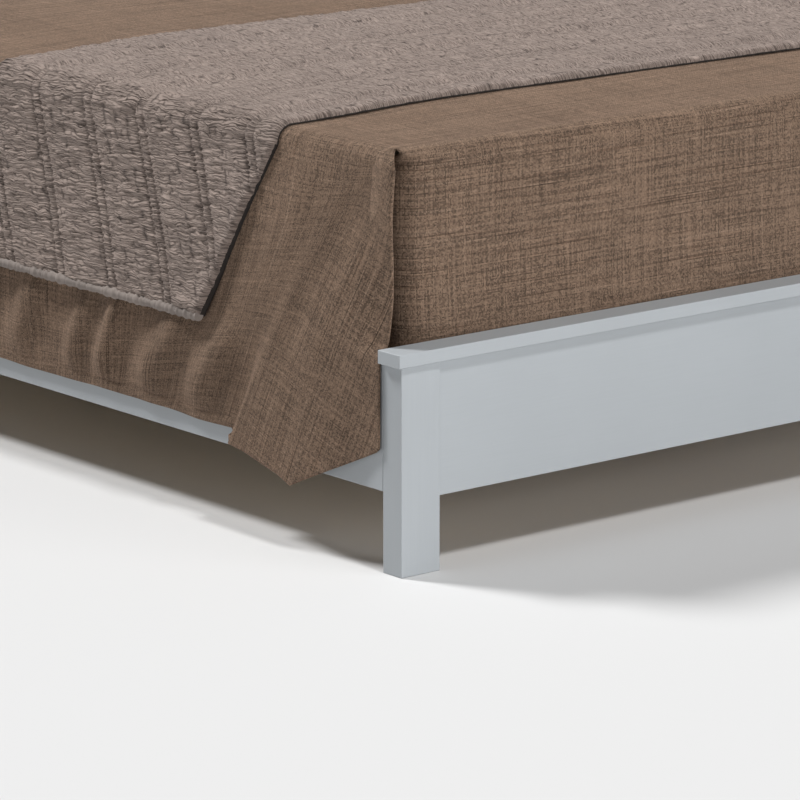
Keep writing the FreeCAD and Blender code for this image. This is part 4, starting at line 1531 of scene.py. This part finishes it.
@dataclass
class Quilt:
    """Crinkled quilt laid across the bed, with double stitch lines and a bound edge."""

    places: BedPlaces
    palette: Palette
    tools: NodeTools
    bedspread: Bedspread
    thickness: float = 8.5 * MM
    foot_start: float = 0.288
    foot_slant: float = 0.47
    width: float = 0.76
    hem_height: float = 0.327
    hem_reach: float = 0.046
    lines: QuiltLines = QuiltLines()
    binding: Piping = Piping(8.6 * MM, 0.32, 80.0, 2.2 * MM)
    binding_depth: float = 0.45
    stitch: Stitch = Stitch(0.0044, 0.0031, 0.0004)
    stitch_margin: float = 6 * MM
    line_numbers: tuple[int, int] = (-1, 8)
    fewest_places: int = 20
    hem_bend: float = 0.2
    head_slant: float = 0.03
    lay: float = 0.6 * MM
    edge_roll: float = 11 * MM
    roll_steps: tuple[float, ...] = (0, 0.03, 0.12, 0.3, 0.6)
    under_columns: tuple[float, ...] = (0, 0.02, 0.05, 0.1, 0.2, 0.5, 1.0)
    edge_lift: float = 12 * MM
    lift_run: float = 45 * MM
    lift_drop: Span = (0.0, 0.10)
    sway: Ripple = Ripple(0.003, (0.11, 0.25), (60.0, 0.0))
    sway_drop: Span = (0.02, 0.2)
    groove_depth: float = 4.4 * MM
    groove_half: float = 2.8 * MM
    puff: float = 2.6 * MM
    puff_run: float = 26 * MM
    bend: Ripple = Ripple(0.011, (0.040, 0.06))
    crinkle: Ripple = Ripple(0.0036, (0.0056, 0.032))
    broad: Ripple = Ripple(0.0017, (0.0115, 0.050), (7.0, 3.0))
    pleat: Ripple = Ripple(0.0007, (0.019, 0.03), (2.0, 0.0))
    tight: Ripple = Ripple(0.0014, (0.0052, 0.014), (31.0, 0.0))
    tight_half: float = 8 * MM
    wrinkle_middle: float = 1.9 * MM
    wrinkle_least: float = 0.6
    wrinkle_run: float = 7 * MM

    def __post_init__(self) -> None:
        """Set the noise of the crinkles."""
        self.noise = SmoothNoise(29, 211)

    def _profile(self, fine: float, wide: float) -> Section:
        """Cross-section over the bed, from the left hem to the right hem.

        Args:
            fine: Step on the sides.
            wide: Step on the top.

        Returns:
            Arrays of x, z, normal x, normal z, drop below the shoulder, length along the section and
            distance from its nearer end.
        """
        spread = self.bedspread
        radius = spread.shoulder + self.thickness + self.lay
        centre = self.places.mattress_half + spread.lay - spread.shoulder
        shoulder = spread.shoulder_height
        tall = shoulder - self.hem_height
        share = np.linspace(1, 0, int(tall / fine))
        bowed = self.hem_bend * share ** 2 + (1 - self.hem_bend) * share
        side_x = centre + radius + self.hem_reach * bowed
        angle = np.linspace(QUARTER_TURN, 0, int(radius * QUARTER_TURN / fine))[1:]
        x = np.concatenate([side_x, centre + radius * np.sin(angle)])
        z = np.concatenate([shoulder - tall * share, shoulder + radius * np.cos(angle)])
        drop = np.concatenate([tall * share, 0 * angle])
        flat_x = np.linspace(-centre, centre, int(2 * centre / wide))[1:-1]
        x = np.concatenate([-x, flat_x, x[::-1]])
        z = np.concatenate([z, np.full_like(flat_x, shoulder + radius), z[::-1]])
        drop = np.concatenate([drop, 0 * flat_x, drop[::-1]])
        tangent_x, tangent_z = np.gradient(x), np.gradient(z)
        size = np.hypot(tangent_x, tangent_z)
        length = run_along(np.column_stack([x, z]))
        ends = np.minimum(length, length[-1] - length)
        facing = {"nx": -tangent_z / size, "nz": tangent_x / size}
        return {"x": x, "z": z, "drop": drop, "length": length, "ends": ends} | facing

    def _edges(self, drop: Array) -> tuple[Array, Array]:
        """Distances from the footboard of the foot edge and the head edge."""
        head_start = self.foot_start + self.width
        return self.foot_start + self.foot_slant * drop, head_start + self.head_slant * drop

    def _puff(self, along: Array, length: Array) -> Array:
        """Height of the quilting above the plain surface.

        Args:
            along: Distance across the stitch lines.
            length: Distance along the stitch lines.

        Returns:
            The heights.
        """
        noise, pitch = self.noise, self.lines.pitch
        beside = (along - self.lines.start + pitch / 2) % pitch - pitch / 2
        gap = np.abs(np.abs(beside) - self.lines.pair_half)
        groove = -self.groove_depth * np.exp(-(gap / self.groove_half) ** 2)
        full = self.puff * smooth_step(0.0, self.puff_run, gap)
        bent = length + self.bend.at(noise, along, length)
        wrinkle = np.abs(self.crinkle.at(noise, bent, along)) + np.abs(self.broad.at(noise, bent, along))
        wrinkle = wrinkle - self.wrinkle_middle + self.pleat.at(noise, along, length)
        wrinkle = wrinkle + self.tight.at(noise, length, along) * np.exp(-(gap / self.tight_half) ** 2)
        share = self.wrinkle_least + (1 - self.wrinkle_least) * smooth_step(0, self.wrinkle_run, gap)
        return groove + full + wrinkle * share

    def _surface(self, section: Section, share: Array, inside: float = 0.0) -> tuple[Array, Array]:
        """Grid on the quilt, of section rows and of columns from the foot edge to the head edge.

        Args:
            section: Rows of the cross-section.
            share: Shares of the columns.
            inside: Depth below the face, or 0 for the puffed face itself.

        Returns:
            The places and their flat coordinates.
        """
        low, high = (edge[:, None] for edge in self._edges(section["drop"]))
        from_foot = low + (high - low) * share[None, :]
        row = {name: np.broadcast_to(values[:, None], from_foot.shape) for name, values in section.items()}
        drop, y = row["drop"], from_foot + self.places.foot_back
        along = from_foot + self.lines.lean * drop
        over = np.clip(np.abs(row["x"]), 0, self.places.mattress_half)
        crown = self.places.crown_at(over, y) * (drop == 0)
        lift = self.edge_lift * np.exp(-(from_foot - low) / self.lift_run)
        lift = lift * smooth_step(*self.lift_drop, drop)
        if inside:
            rise = lift * (1 - inside / self.thickness) - inside
        else:
            edge = np.minimum(np.minimum(from_foot - low, high - from_foot), row["ends"])
            rise = self._rolled(lift + self._puff(along, row["length"]), edge)
        rise = rise + self.sway.at(self.noise, from_foot, drop) * smooth_step(*self.sway_drop, drop)
        points = np.stack([row["x"] + row["nx"] * rise, y, row["z"] + crown + row["nz"] * rise], axis=-1)
        return points, np.stack([row["length"], along], axis=-1)

    def _rolled(self, rise: Array, edge: Array) -> Array:
        """Heights rolled down to the underside, by their distance from the nearest edge."""
        share = np.sqrt(1 - (1 - np.clip(edge / self.edge_roll, 0, 1)) ** 2)
        return rise * share - self.thickness * (1 - share)

    def _columns(self, count: int) -> Array:
        """Shares from the foot edge to the head edge, close together where the edges roll."""
        roll = self.edge_roll / self.width
        turn = roll * np.array(self.roll_steps)
        return np.concatenate([turn, np.linspace(roll, 1 - roll, count), 1 - turn[::-1]])

    def _binding(self, section: Section) -> Object:
        """Puckered binding along both hems."""
        points = self._surface(section, np.linspace(0, 1, 60), self.thickness * self.binding_depth)[0]
        hems = path_object([points[0], points[-1]])
        return self.tools.pipe(hems, "quilt_binding", self.binding, self.palette.binding)

    def _stitching(self, section: Section) -> Object:
        """Double rows of stitches.

        Args:
            section: Rows of the cross-section.

        Returns:
            The stitches as one piece.
        """
        low, high = self._edges(section["drop"])
        margin, rows = self.stitch_margin, []
        for number in range(*self.line_numbers):
            for offset in (-self.lines.pair_half, self.lines.pair_half):
                place = self.lines.start + number * self.lines.pitch + offset
                from_foot = place - self.lines.lean * section["drop"]
                inside = (from_foot > low + margin) & (from_foot < high - margin)
                share = (from_foot - low) / (high - low)
                if inside.sum() > self.fewest_places:
                    rows.append(self._line(section, share, np.flatnonzero(inside)))
        return self.tools.sew(rows, "quilt_stitches", self.stitch, self.palette.quilt_thread)

    def _line(self, section: Section, share: Array, rows: Array) -> Array:
        """Places of one stitch line on the quilt's face, one for each of the section's rows.

        Args:
            section: Rows of the cross-section.
            share: The line's place from foot edge to head edge in each row.
            rows: Numbers of the rows that the line crosses.

        Returns:
            The places.
        """
        points = []
        for i in rows:
            row = {name: values[i:i + 1] for name, values in section.items()}
            points.append(self._surface(row, share[i:i + 1])[0][0, 0])
        return np.array(points)

    def build(self) -> None:
        """Make the quilt, its binding and its stitches."""
        cloth = ClothMesh()
        section = self._profile(1.7 * MM, 5.0 * MM)
        columns = self._columns(112)
        face, face_flats = self._surface(section, columns)
        top = np.flatnonzero(section["drop"] == 0)
        first, last = top[0], top[-1]
        # The rolled foot and head edges and the underside take the near-black backing, which paints the
        # shadow in the gap between quilt and bedspread.
        for rows, wall in ((slice(0, first + 1), 2), (slice(first, last + 1), 1), (slice(last, None), 2)):
            for part in (slice(0, wall + 1), slice(wall, -wall), slice(-wall - 1, None)):
                cloth.add(face[rows, part], face_flats[rows, part], True, int(part != slice(wall, -wall)))
        hems, hem_flats = self._surface(section, columns, self.thickness)
        below, flats = self._surface(section, np.array(self.under_columns), self.thickness)
        cloth.add(below[1:-1], flats[1:-1], False, 1)
        cloth.join(hems[0], below[1], (hem_flats[0], flats[1]), False, 1)
        cloth.join(hems[-1], below[-2], (hem_flats[-1], flats[-2]), True, 1)
        piece = cloth.build("quilt_cotton", self.palette.cotton, self.palette.shadow_backing)
        binding = self._binding(self._profile(6 * MM, 20 * MM))
        stitches = self._stitching(section)
        for each in (piece, binding, stitches):
            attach(each, "platform")
        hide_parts("quilt")
        counts = [triangles(each) for each in (piece, binding, stitches)]
        log.info("quilt: %d triangles, binding %d, stitches %d", *counts)


@dataclass
class MattressPad:
    """Mattress with rounded foot corners, crowned faces and taped edges."""

    places: BedPlaces
    palette: Palette
    tools: NodeTools
    edge_radius: float = 22 * MM
    side_hollow: float = 4 * MM
    head_corner: float = 50 * MM
    foot_corner: Place = (80 * MM, 280 * MM)
    inset: float = 1 * MM
    top_gap: float = 1.5 * MM
    crown_gap: float = 0.5 * MM
    foot_gap: float = 2 * MM
    foot_bow: float = 1.1
    disc: Span = (0.02, 0.97)
    girth_ring: int = 14
    tape: Piping = Piping(3.5 * MM, 0.04, 40.0, 16 * MM)
    tape_inset: float = 0.34
    tape_height: float = 0.45

    def _outline(self) -> Array:
        """Plan outline, as a closed loop of places that starts at the left of the foot end.

        Returns:
            The places.
        """
        places, mirror = self.places, np.array([-1, 1])
        half = places.mattress_half - self.inset
        wide, deep = self.foot_corner
        x = np.linspace(-half + wide, half - wide, 41)
        face = places.mattress_foot + self.foot_gap + self.foot_bow * places.corner_set_back(x)
        bend = np.linspace(0, QUARTER_TURN, 13)[1:]
        corner = np.column_stack([x[-1] + wide * np.sin(bend), face[-1] + deep * (1 - np.cos(bend))])
        foot = np.concatenate([corner[::-1] * mirror, np.column_stack([x, face]), corner])
        turn, radius = np.linspace(0, QUARTER_TURN, 9), self.head_corner
        head = places.mattress_head - self.inset - radius
        right = np.column_stack([half - radius * (1 - np.cos(turn)), head + radius * np.sin(turn)])
        left = right[::-1] * mirror
        rise = np.linspace(foot[-1, 1], head, 40)[1:-1]
        middle = np.linspace(right[-1, 0], left[0, 0], 30)[1:-1]
        up = np.column_stack([np.full_like(rise, half), rise])
        back = np.column_stack([middle, np.full_like(middle, right[-1, 1])])
        return np.concatenate([foot, up, right, back, left, up[::-1] * mirror])

    def _rings(self, outline: Array, outward: Array, middle: Array) -> Array:
        """Closed rings of places from the middle of the underside, up the sides, to the middle of the top.

        Args:
            outline: Plan outline.
            outward: Direction away from the middle at each of its places.
            middle: Middle of the plan.

        Returns:
            Rings by places by 3.
        """
        low, high = self.faces
        radius, away = self.edge_radius, outline - middle
        rings = [(middle + away * share, low) for share in np.linspace(*self.disc, 12)]
        turns = np.linspace(0, QUARTER_TURN, 6)
        edges = [(outline - outward * radius * (1 - math.sin(t)), radius * (1 - math.cos(t))) for t in turns]
        rings += [(plan, low + rise) for plan, rise in edges]
        for share in np.linspace(0, 1, 14)[1:-1]:
            hollow = self.side_hollow * math.sin(math.pi * share)
            rings.append((outline - outward * hollow, low + radius + (high - low - 2 * radius) * share))
        rings += [(plan, high - fall) for plan, fall in edges[::-1]]
        for share in np.linspace(*self.disc[::-1], 16):
            plan = middle + away * share
            rings.append((plan, high + self.places.crown_at(plan[:, 0], plan[:, 1]) - self.crown_gap))
        grid = np.stack([np.column_stack([plan, np.broadcast_to(z, len(plan))]) for plan, z in rings])
        return np.concatenate([grid, grid[:, :1]], axis=1)

    @property
    def faces(self) -> Span:
        """Heights of the underside and of the top's edge."""
        return self.places.mattress_bottom, self.places.mattress_edge - self.top_gap

    def _tape(self, plan: Array) -> Object:
        """Tape along the lower and the upper edge.

        Args:
            plan: Plan of the tape's path.

        Returns:
            Both tapes as one piece.
        """
        low, high = self.faces
        inset = self.edge_radius * self.tape_height
        paths = [np.column_stack([plan, np.full(len(plan), z)]) for z in (low + inset, high - inset)]
        return self.tools.pipe(path_object(paths, True), "mattress_tape", self.tape, self.palette.tape)

    def build(self) -> None:
        """Make the mattress and its edge tapes."""
        outline = self._outline()
        middle = np.array([0, (self.places.mattress_foot + self.places.mattress_head) / 2])
        away = outline - middle
        outward = away / np.linalg.norm(away, axis=1)[:, None]
        grid = self._rings(outline, outward, middle)
        flat = np.stack(np.meshgrid(run_along(grid[self.girth_ring]), run_along(grid[:, 0])), axis=-1)
        cloth = ClothMesh()
        cloth.add(grid, flat)
        for row, flip in ((0, True), (-1, False)):
            cap = np.stack([grid[row], np.broadcast_to(grid[row].mean(axis=0), grid[row].shape)])
            cloth.add(cap, flat[row][None, :, :].repeat(2, axis=0), flip)
        piece = cloth.build("mattress_pad", self.palette.ticking)
        tape = self._tape(outline - outward * self.edge_radius * self.tape_inset)
        for each in (piece, tape):
            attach(each, "platform")
        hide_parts("mattress")
        log.info("mattress: %d triangles, tape %d", triangles(piece), triangles(tape))


@dataclass
class PullStrap:
    """Webbing loop on the platform's foot bar, sewn with a boxed cross."""

    palette: Palette
    tools: NodeTools
    thickness: float = 2 * MM
    built_share: float = 0.9
    loop_gap: float = 6.5 * MM
    tab_gap: float = 1 * MM
    sag: float = 1.5 * MM
    face_start: float = 8 * MM
    crest_below: float = 4 * MM
    crest_rise: float = 3 * MM
    tail_end: float = 12 * MM
    edge_gap: float = 0.2 * MM
    inner_columns: tuple[float, ...] = (-0.012, -0.004, 0.004, 0.012)
    stitch: Stitch = Stitch(0.003, 0.0022, 0.0004)
    stitch_inset: float = 5 * MM
    cross_span: Span = (12 * MM, 36 * MM)
    stitch_proud: float = 0.1 * MM

    def _line(self, low: Vector, high: Vector) -> Array:
        """Places along the strap as y and z, from its tab behind the bar, round the bar to the loop's end.

        Args:
            low: Lower corner of the strap's box.
            high: Upper corner of the strap's box.

        Returns:
            The places.
        """
        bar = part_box("platform_foot_bar")
        half, crest_foot = self.thickness / 2, high.z - self.crest_below
        back, front = bar[0].y - half, low.y + half
        loop_back = low.y + self.loop_gap - half
        path = [(back, bar[1].z - self.tab_gap), (back, low.z + 4 * half)]
        turns = np.linspace(0, math.pi, 7)
        centre, radius = (back + front) / 2, (back - front) / 2
        bottom = low.z + half + self.sag
        path += [(centre + radius * math.cos(t), bottom - self.sag * math.sin(t)) for t in turns]
        path += [(front, z) for z in np.linspace(low.z + self.face_start, crest_foot, 8)]
        crest = (loop_back - front) / 2
        for turn in turns[1:-1]:
            y = front + crest - crest * math.cos(turn)
            path.append((y, crest_foot + self.crest_rise * math.sin(turn)))
        path += [(loop_back, z) for z in np.linspace(crest_foot, low.z + self.tail_end, 8)]
        return np.array(path)

    def build(self) -> None:
        """Make the strap and its stitches."""
        low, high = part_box("pull_strap")
        line = self._line(low, high)
        run = run_along(line)
        across = np.array([low.x + self.edge_gap, *self.inner_columns, high.x - self.edge_gap])
        points = np.zeros((len(line), len(across), 3))
        points[:, :, 0] = across[None, :]
        points[:, :, 1:] = line[:, None, :]
        cloth = ClothMesh()
        cloth.add(points, np.stack(np.meshgrid(across, run), axis=-1))
        built = self.thickness * self.built_share
        piece = cloth.build("pull_strap_webbing", self.palette.webbing, thickness=built, offset=0.0)
        stitches = self._stitching(low, high)
        for each in (piece, stitches):
            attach(each, "platform")
        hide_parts("pull_strap")
        log.info("pull strap: %d triangles", triangles(piece))

    def _stitching(self, low: Vector, high: Vector) -> Object:
        """Boxed cross of stitches on the strap's face.

        Args:
            low: Lower corner of the strap's box.
            high: Upper corner of the strap's box.

        Returns:
            The stitches as one piece.
        """
        left, right = low.x + self.stitch_inset, high.x - self.stitch_inset
        bottom, top = (low.z + rise for rise in self.cross_span)
        y = low.y - self.stitch_proud
        corners = [(left, bottom), (right, bottom), (right, top), (left, top), (left, bottom), (right, top)]
        rows = [np.array([(x, y, z) for x, z in corners]), np.array([(left, y, top), (right, y, bottom)])]
        return self.tools.sew(rows, "pull_strap_stitches", self.stitch, self.palette.webbing_thread)


@dataclass
class Fasteners:
    """Pan-head screws with a cross recess, in place of the plain ones of the corner brackets."""

    palette: Palette
    tools: NodeTools
    recess: float = 1.1 * MM
    recess_taper: float = 0.8
    cross_reach: tuple[float, ...] = (0.6, 0.34, 0.2, 0.34)
    ring: int = 16
    point_share: float = 0.2
    head_edge: Span = (1.0, 0.35)
    head_crown: Span = (0.86, 0.8)

    @staticmethod
    def _islands(node: Object) -> list[Array]:
        """Vertex places of each loose part of a node.

        Args:
            node: The node.

        Returns:
            An array of places for each part.
        """
        work = bmesh.new()
        work.from_mesh(node.data)
        bmesh.ops.remove_doubles(work, verts=work.verts, dist=1e-6)
        seen, parts = set(), []
        for start in work.verts:
            if start in seen:
                continue
            stack, part = [start], []
            seen.add(start)
            while stack:
                vertex = stack.pop()
                part.append(tuple(vertex.co))
                for edge in vertex.link_edges:
                    other = edge.other_vert(vertex)
                    if other not in seen:
                        seen.add(other)
                        stack.append(other)
            parts.append(np.array(part))
        work.free()
        return parts

    def _shape(self, head: float, tall: float, shank: float, long: float) -> Object:
        """One screw along Z, with its head's seat at the origin.

        Args:
            head: Radius of the head.
            tall: Height of the head.
            shank: Radius of the shank.
            long: Length of the shank.

        Returns:
            The screw.
        """
        mesh = bpy.data.meshes.new("screw")
        work = bmesh.new()
        angles = [turn * 2 * math.pi / self.ring for turn in range(self.ring)]
        outline = [(shank * self.point_share, -long), (shank, -long + shank), (shank, 0), (head, 0)]
        outline += [(head * wide, tall * rise) for wide, rise in (self.head_edge, self.head_crown)]
        loops = [[(r * math.cos(a), r * math.sin(a), z) for a in angles] for r, z in outline]
        arms = list(zip(angles, self.cross_reach * (self.ring // len(self.cross_reach))))
        for r, z in ((head, tall), (head * self.recess_taper, tall - self.recess)):
            loops.append([(r * arm * math.cos(a), r * arm * math.sin(a), z) for a, arm in arms])
        loops = [[work.verts.new(place) for place in loop] for loop in loops]
        for lower, upper in zip(loops, loops[1:]):
            for i in range(self.ring):
                after = (i + 1) % self.ring
                work.faces.new((lower[i], lower[after], upper[after], upper[i]))
        work.faces.new(loops[0][::-1])
        work.faces.new(loops[-1])
        work.to_mesh(mesh)
        work.free()
        return linked("screw", mesh)

    def build(self) -> None:
        """Make the screws."""
        rim_share, shank_share = 0.9, 0.75
        seats, facings, size = [], [], None
        for part in self._islands(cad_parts["bracket_screws"]):
            low, high = part.min(axis=0), part.max(axis=0)
            axis = int(np.argmax(high - low))
            middle = (low + high) / 2
            side = np.linalg.norm(np.delete(part - middle, axis, axis=1), axis=1)
            head = part[side > side.max() * rim_share][:, axis]
            outward = head.mean() > middle[axis]
            facing, seat = np.zeros(3), middle.copy()
            facing[axis] = 1.0 if outward else -1.0
            seat[axis] = head.min() if outward else head.max()
            seats.append(seat)
            facings.append(facing)
            tall = float(np.ptp(head))
            shank = float(side[side < side.max() * shank_share].max())
            size = (float(side.max()), tall, shank, float((high - low)[axis]) - tall)
        mesh = bpy.data.meshes.new("seats")
        mesh.from_pydata([tuple(seat) for seat in seats], [], [])
        turned = mesh.attributes.new("facing", "FLOAT_VECTOR", "POINT")
        turned.data.foreach_set("vector", np.array(facings).ravel())
        source, shape = linked("seats", mesh), self._shape(*size)
        values = {"Shape": shape, "Scale": 1.0, "Finish": self.palette.zinc}
        piece = self.tools.grown(self.tools.copies, source, "bracket_screw_set", values)
        piece.data.shade_flat()
        bpy.data.objects.remove(shape)
        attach(piece, "frame")
        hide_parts("bracket_screws")
        log.info("screws: %d of them, %d triangles", len(seats), triangles(piece))


def dress(nodes: Sequence[str], material: Material) -> None:
    """Give CAD nodes a finish.

    Args:
        nodes: Names of the nodes.
        material: Their finish.
    """
    for name in nodes:
        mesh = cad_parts[name].data
        mesh.materials.clear()
        mesh.materials.append(material)


def pair(name: str) -> tuple[str, str]:
    """The left and right node of a pair."""
    return f"{name}_left", f"{name}_right"


@dataclass
class BedFrame:
    """Footboard, headboard and rails."""

    palette: Palette

    def build(self) -> None:
        """Dress the frame's nodes."""
        paint, bare = self.palette.paint, self.palette.bare
        dress([*pair("foot_leg"), *pair("head_post")], paint[Axis.UP])
        dress(["foot_panel", "foot_cap", "head_panel", "head_cap"], paint[Axis.ACROSS])
        dress(pair("side_rail"), paint[Axis.ALONG])
        dress(["foot_rest_rail", "foot_cleat", "head_cleat"], bare[Axis.ACROSS])
        dress(pair("rail_ledger"), bare[Axis.ALONG])
        dress(["corner_brackets"], self.palette.zinc)
        log.info("frame: painted boards, bare cleats and ledgers, plated brackets")


@dataclass
class StorageFloor:
    """Boards of the storage well with the beam and legs under them."""

    palette: Palette

    def build(self) -> None:
        """Dress the floor's nodes."""
        dress(["floor_board_foot", "floor_board_middle", "floor_board_head"], self.palette.ply)
        dress(["centre_beam"], self.palette.bare[Axis.ALONG])
        dress(["centre_leg_foot", "centre_leg_head"], self.palette.bare[Axis.UP])
        dress(["centre_leg_glides"], self.palette.nylon)
        log.info("storage floor: boards, beam, legs and glides")


@dataclass
class LiftPlatform:
    """Steel platform frame with sprung slats."""

    palette: Palette

    def build(self) -> None:
        """Dress the platform's nodes."""
        steel = ["platform_foot_bar", "platform_head_bar", "platform_spine", "mattress_retainer"]
        dress([*steel, *pair("platform_side"), *pair("platform_plate")], self.palette.black_steel)
        dress(["slats"], self.palette.beech)
        dress(["slat_holders"], self.palette.nylon)
        log.info("platform: steel frame, slats, holders and retainer")


@dataclass
class LiftMechanism:
    """Arms, struts and pins of the lift."""

    palette: Palette

    def build(self) -> None:
        """Dress the mechanism's nodes."""
        steel = [*pair("lift_base_plate"), *pair("rear_arm"), *pair("front_arm"), *pair("strut_cylinder")]
        dress(steel, self.palette.black_steel)
        dress(["base_pivot_pins", "platform_pivot_pins"], self.palette.zinc)
        dress(pair("strut_rod"), self.palette.chrome)
        log.info("lift: plates, arms, struts and pins")


def heading_vector(turn: float, fall: float) -> Vector:
    """Direction of a view that is turned from the bed's length towards +X and falls below level."""
    return Vector((math.sin(turn) * math.cos(fall), math.cos(turn) * math.cos(fall), -math.sin(fall)))


@dataclass(frozen=True)
class Lamp:
    """A distant lamp, by the direction it stands in, in degrees."""

    name: str
    azimuth: float
    elevation: float
    strength: float
    spread: float


@dataclass
class Studio:
    """Floor, light and camera."""

    heading: float = math.radians(39.32)
    pitch: float = math.radians(13.32)
    focal_pixels: float = 4700.0
    camera_place: tuple[float, float, float] = (-5.09638, -6.32469, 1.88129)
    farthest: float = 200.0
    floor_half: float = 60.0
    floor_colour: Colour = (0.70, 0.70, 0.70)
    floor_roughness: float = 0.9
    sky_colour: Colour = (1.0, 1.0, 1.0)
    world_strength: float = 0.13
    lamps: tuple[Lamp, ...] = (
        Lamp("front_soft", -22.0, 8.0, 0.54, 36.0),
        Lamp("front_key", 4.0, 60.0, 0.47, 9.0),
        Lamp("overhead", 155.0, 50.0, 0.80, 12.0),
    )

    def build(self) -> None:
        """Set up the floor, the light and the camera."""
        self._floor()
        self._light()
        self._camera()
        bpy.context.scene.view_settings.view_transform = "Standard"
        log.info("studio: floor, %d lamps and camera", len(self.lamps))

    def _floor(self) -> None:
        """Large pale floor."""
        half = self.floor_half
        corners = [(-half, -half, 0), (half, -half, 0), (half, half, 0), (-half, half, 0)]
        mesh = bpy.data.meshes.new("floor")
        mesh.from_pydata(corners, [], [(0, 1, 2, 3)])
        finish = bpy.data.materials.new("pale_floor")
        finish.use_nodes = True
        shader = finish.node_tree.nodes["Principled BSDF"]
        shader.inputs["Base Color"].default_value = rgba(self.floor_colour)
        shader.inputs["Roughness"].default_value = self.floor_roughness
        mesh.materials.append(finish)
        floor = linked("floor", mesh)

    def _light(self) -> None:
        """Even sky and soft distant lamps."""
        world = bpy.data.worlds.new("studio")
        world.use_nodes = True
        sky = world.node_tree.nodes["Background"]
        sky.inputs["Color"].default_value = rgba(self.sky_colour)
        sky.inputs["Strength"].default_value = self.world_strength
        bpy.context.scene.world = world
        for lamp in self.lamps:
            data = bpy.data.lights.new(lamp.name, "SUN")
            data.energy = lamp.strength * math.pi
            data.angle = math.radians(lamp.spread)
            source = -heading_vector(math.radians(lamp.azimuth), math.radians(lamp.elevation))
            light = linked(lamp.name, data)
            light.rotation_euler = source.to_track_quat("Z", "Y").to_euler()

    def _camera(self) -> None:
        """Camera at the photograph's viewing angle."""
        data = bpy.data.cameras.new("camera")
        data.sensor_width = SENSOR_WIDTH
        data.lens = self.focal_pixels / IMAGE_SIDE * SENSOR_WIDTH
        data.clip_end = self.farthest
        camera = linked("camera", data)
        forward = heading_vector(self.heading, self.pitch)
        turn = forward.to_track_quat("-Z", "Y").to_matrix().to_4x4()
        camera.matrix_world = Matrix.Translation(self.camera_place) @ turn
        bpy.context.scene.camera = camera


def main() -> None:
    """Build the bed's looks piece by piece."""
    logging.basicConfig(level=logging.INFO, format="%(message)s")
    places, palette, tools = BedPlaces.from_frame(), Palette(), NodeTools()
    Studio().build()
    for part in (BedFrame, StorageFloor, LiftPlatform, LiftMechanism):
        part(palette).build()
    Fasteners(palette, tools).build()
    MattressPad(places, palette, tools).build()
    bedspread = Bedspread(places, palette, tools)
    bedspread.build()
    Quilt(places, palette, tools, bedspread).build()
    PullStrap(palette, tools).build()


if __name__ == "__main__":
    main()
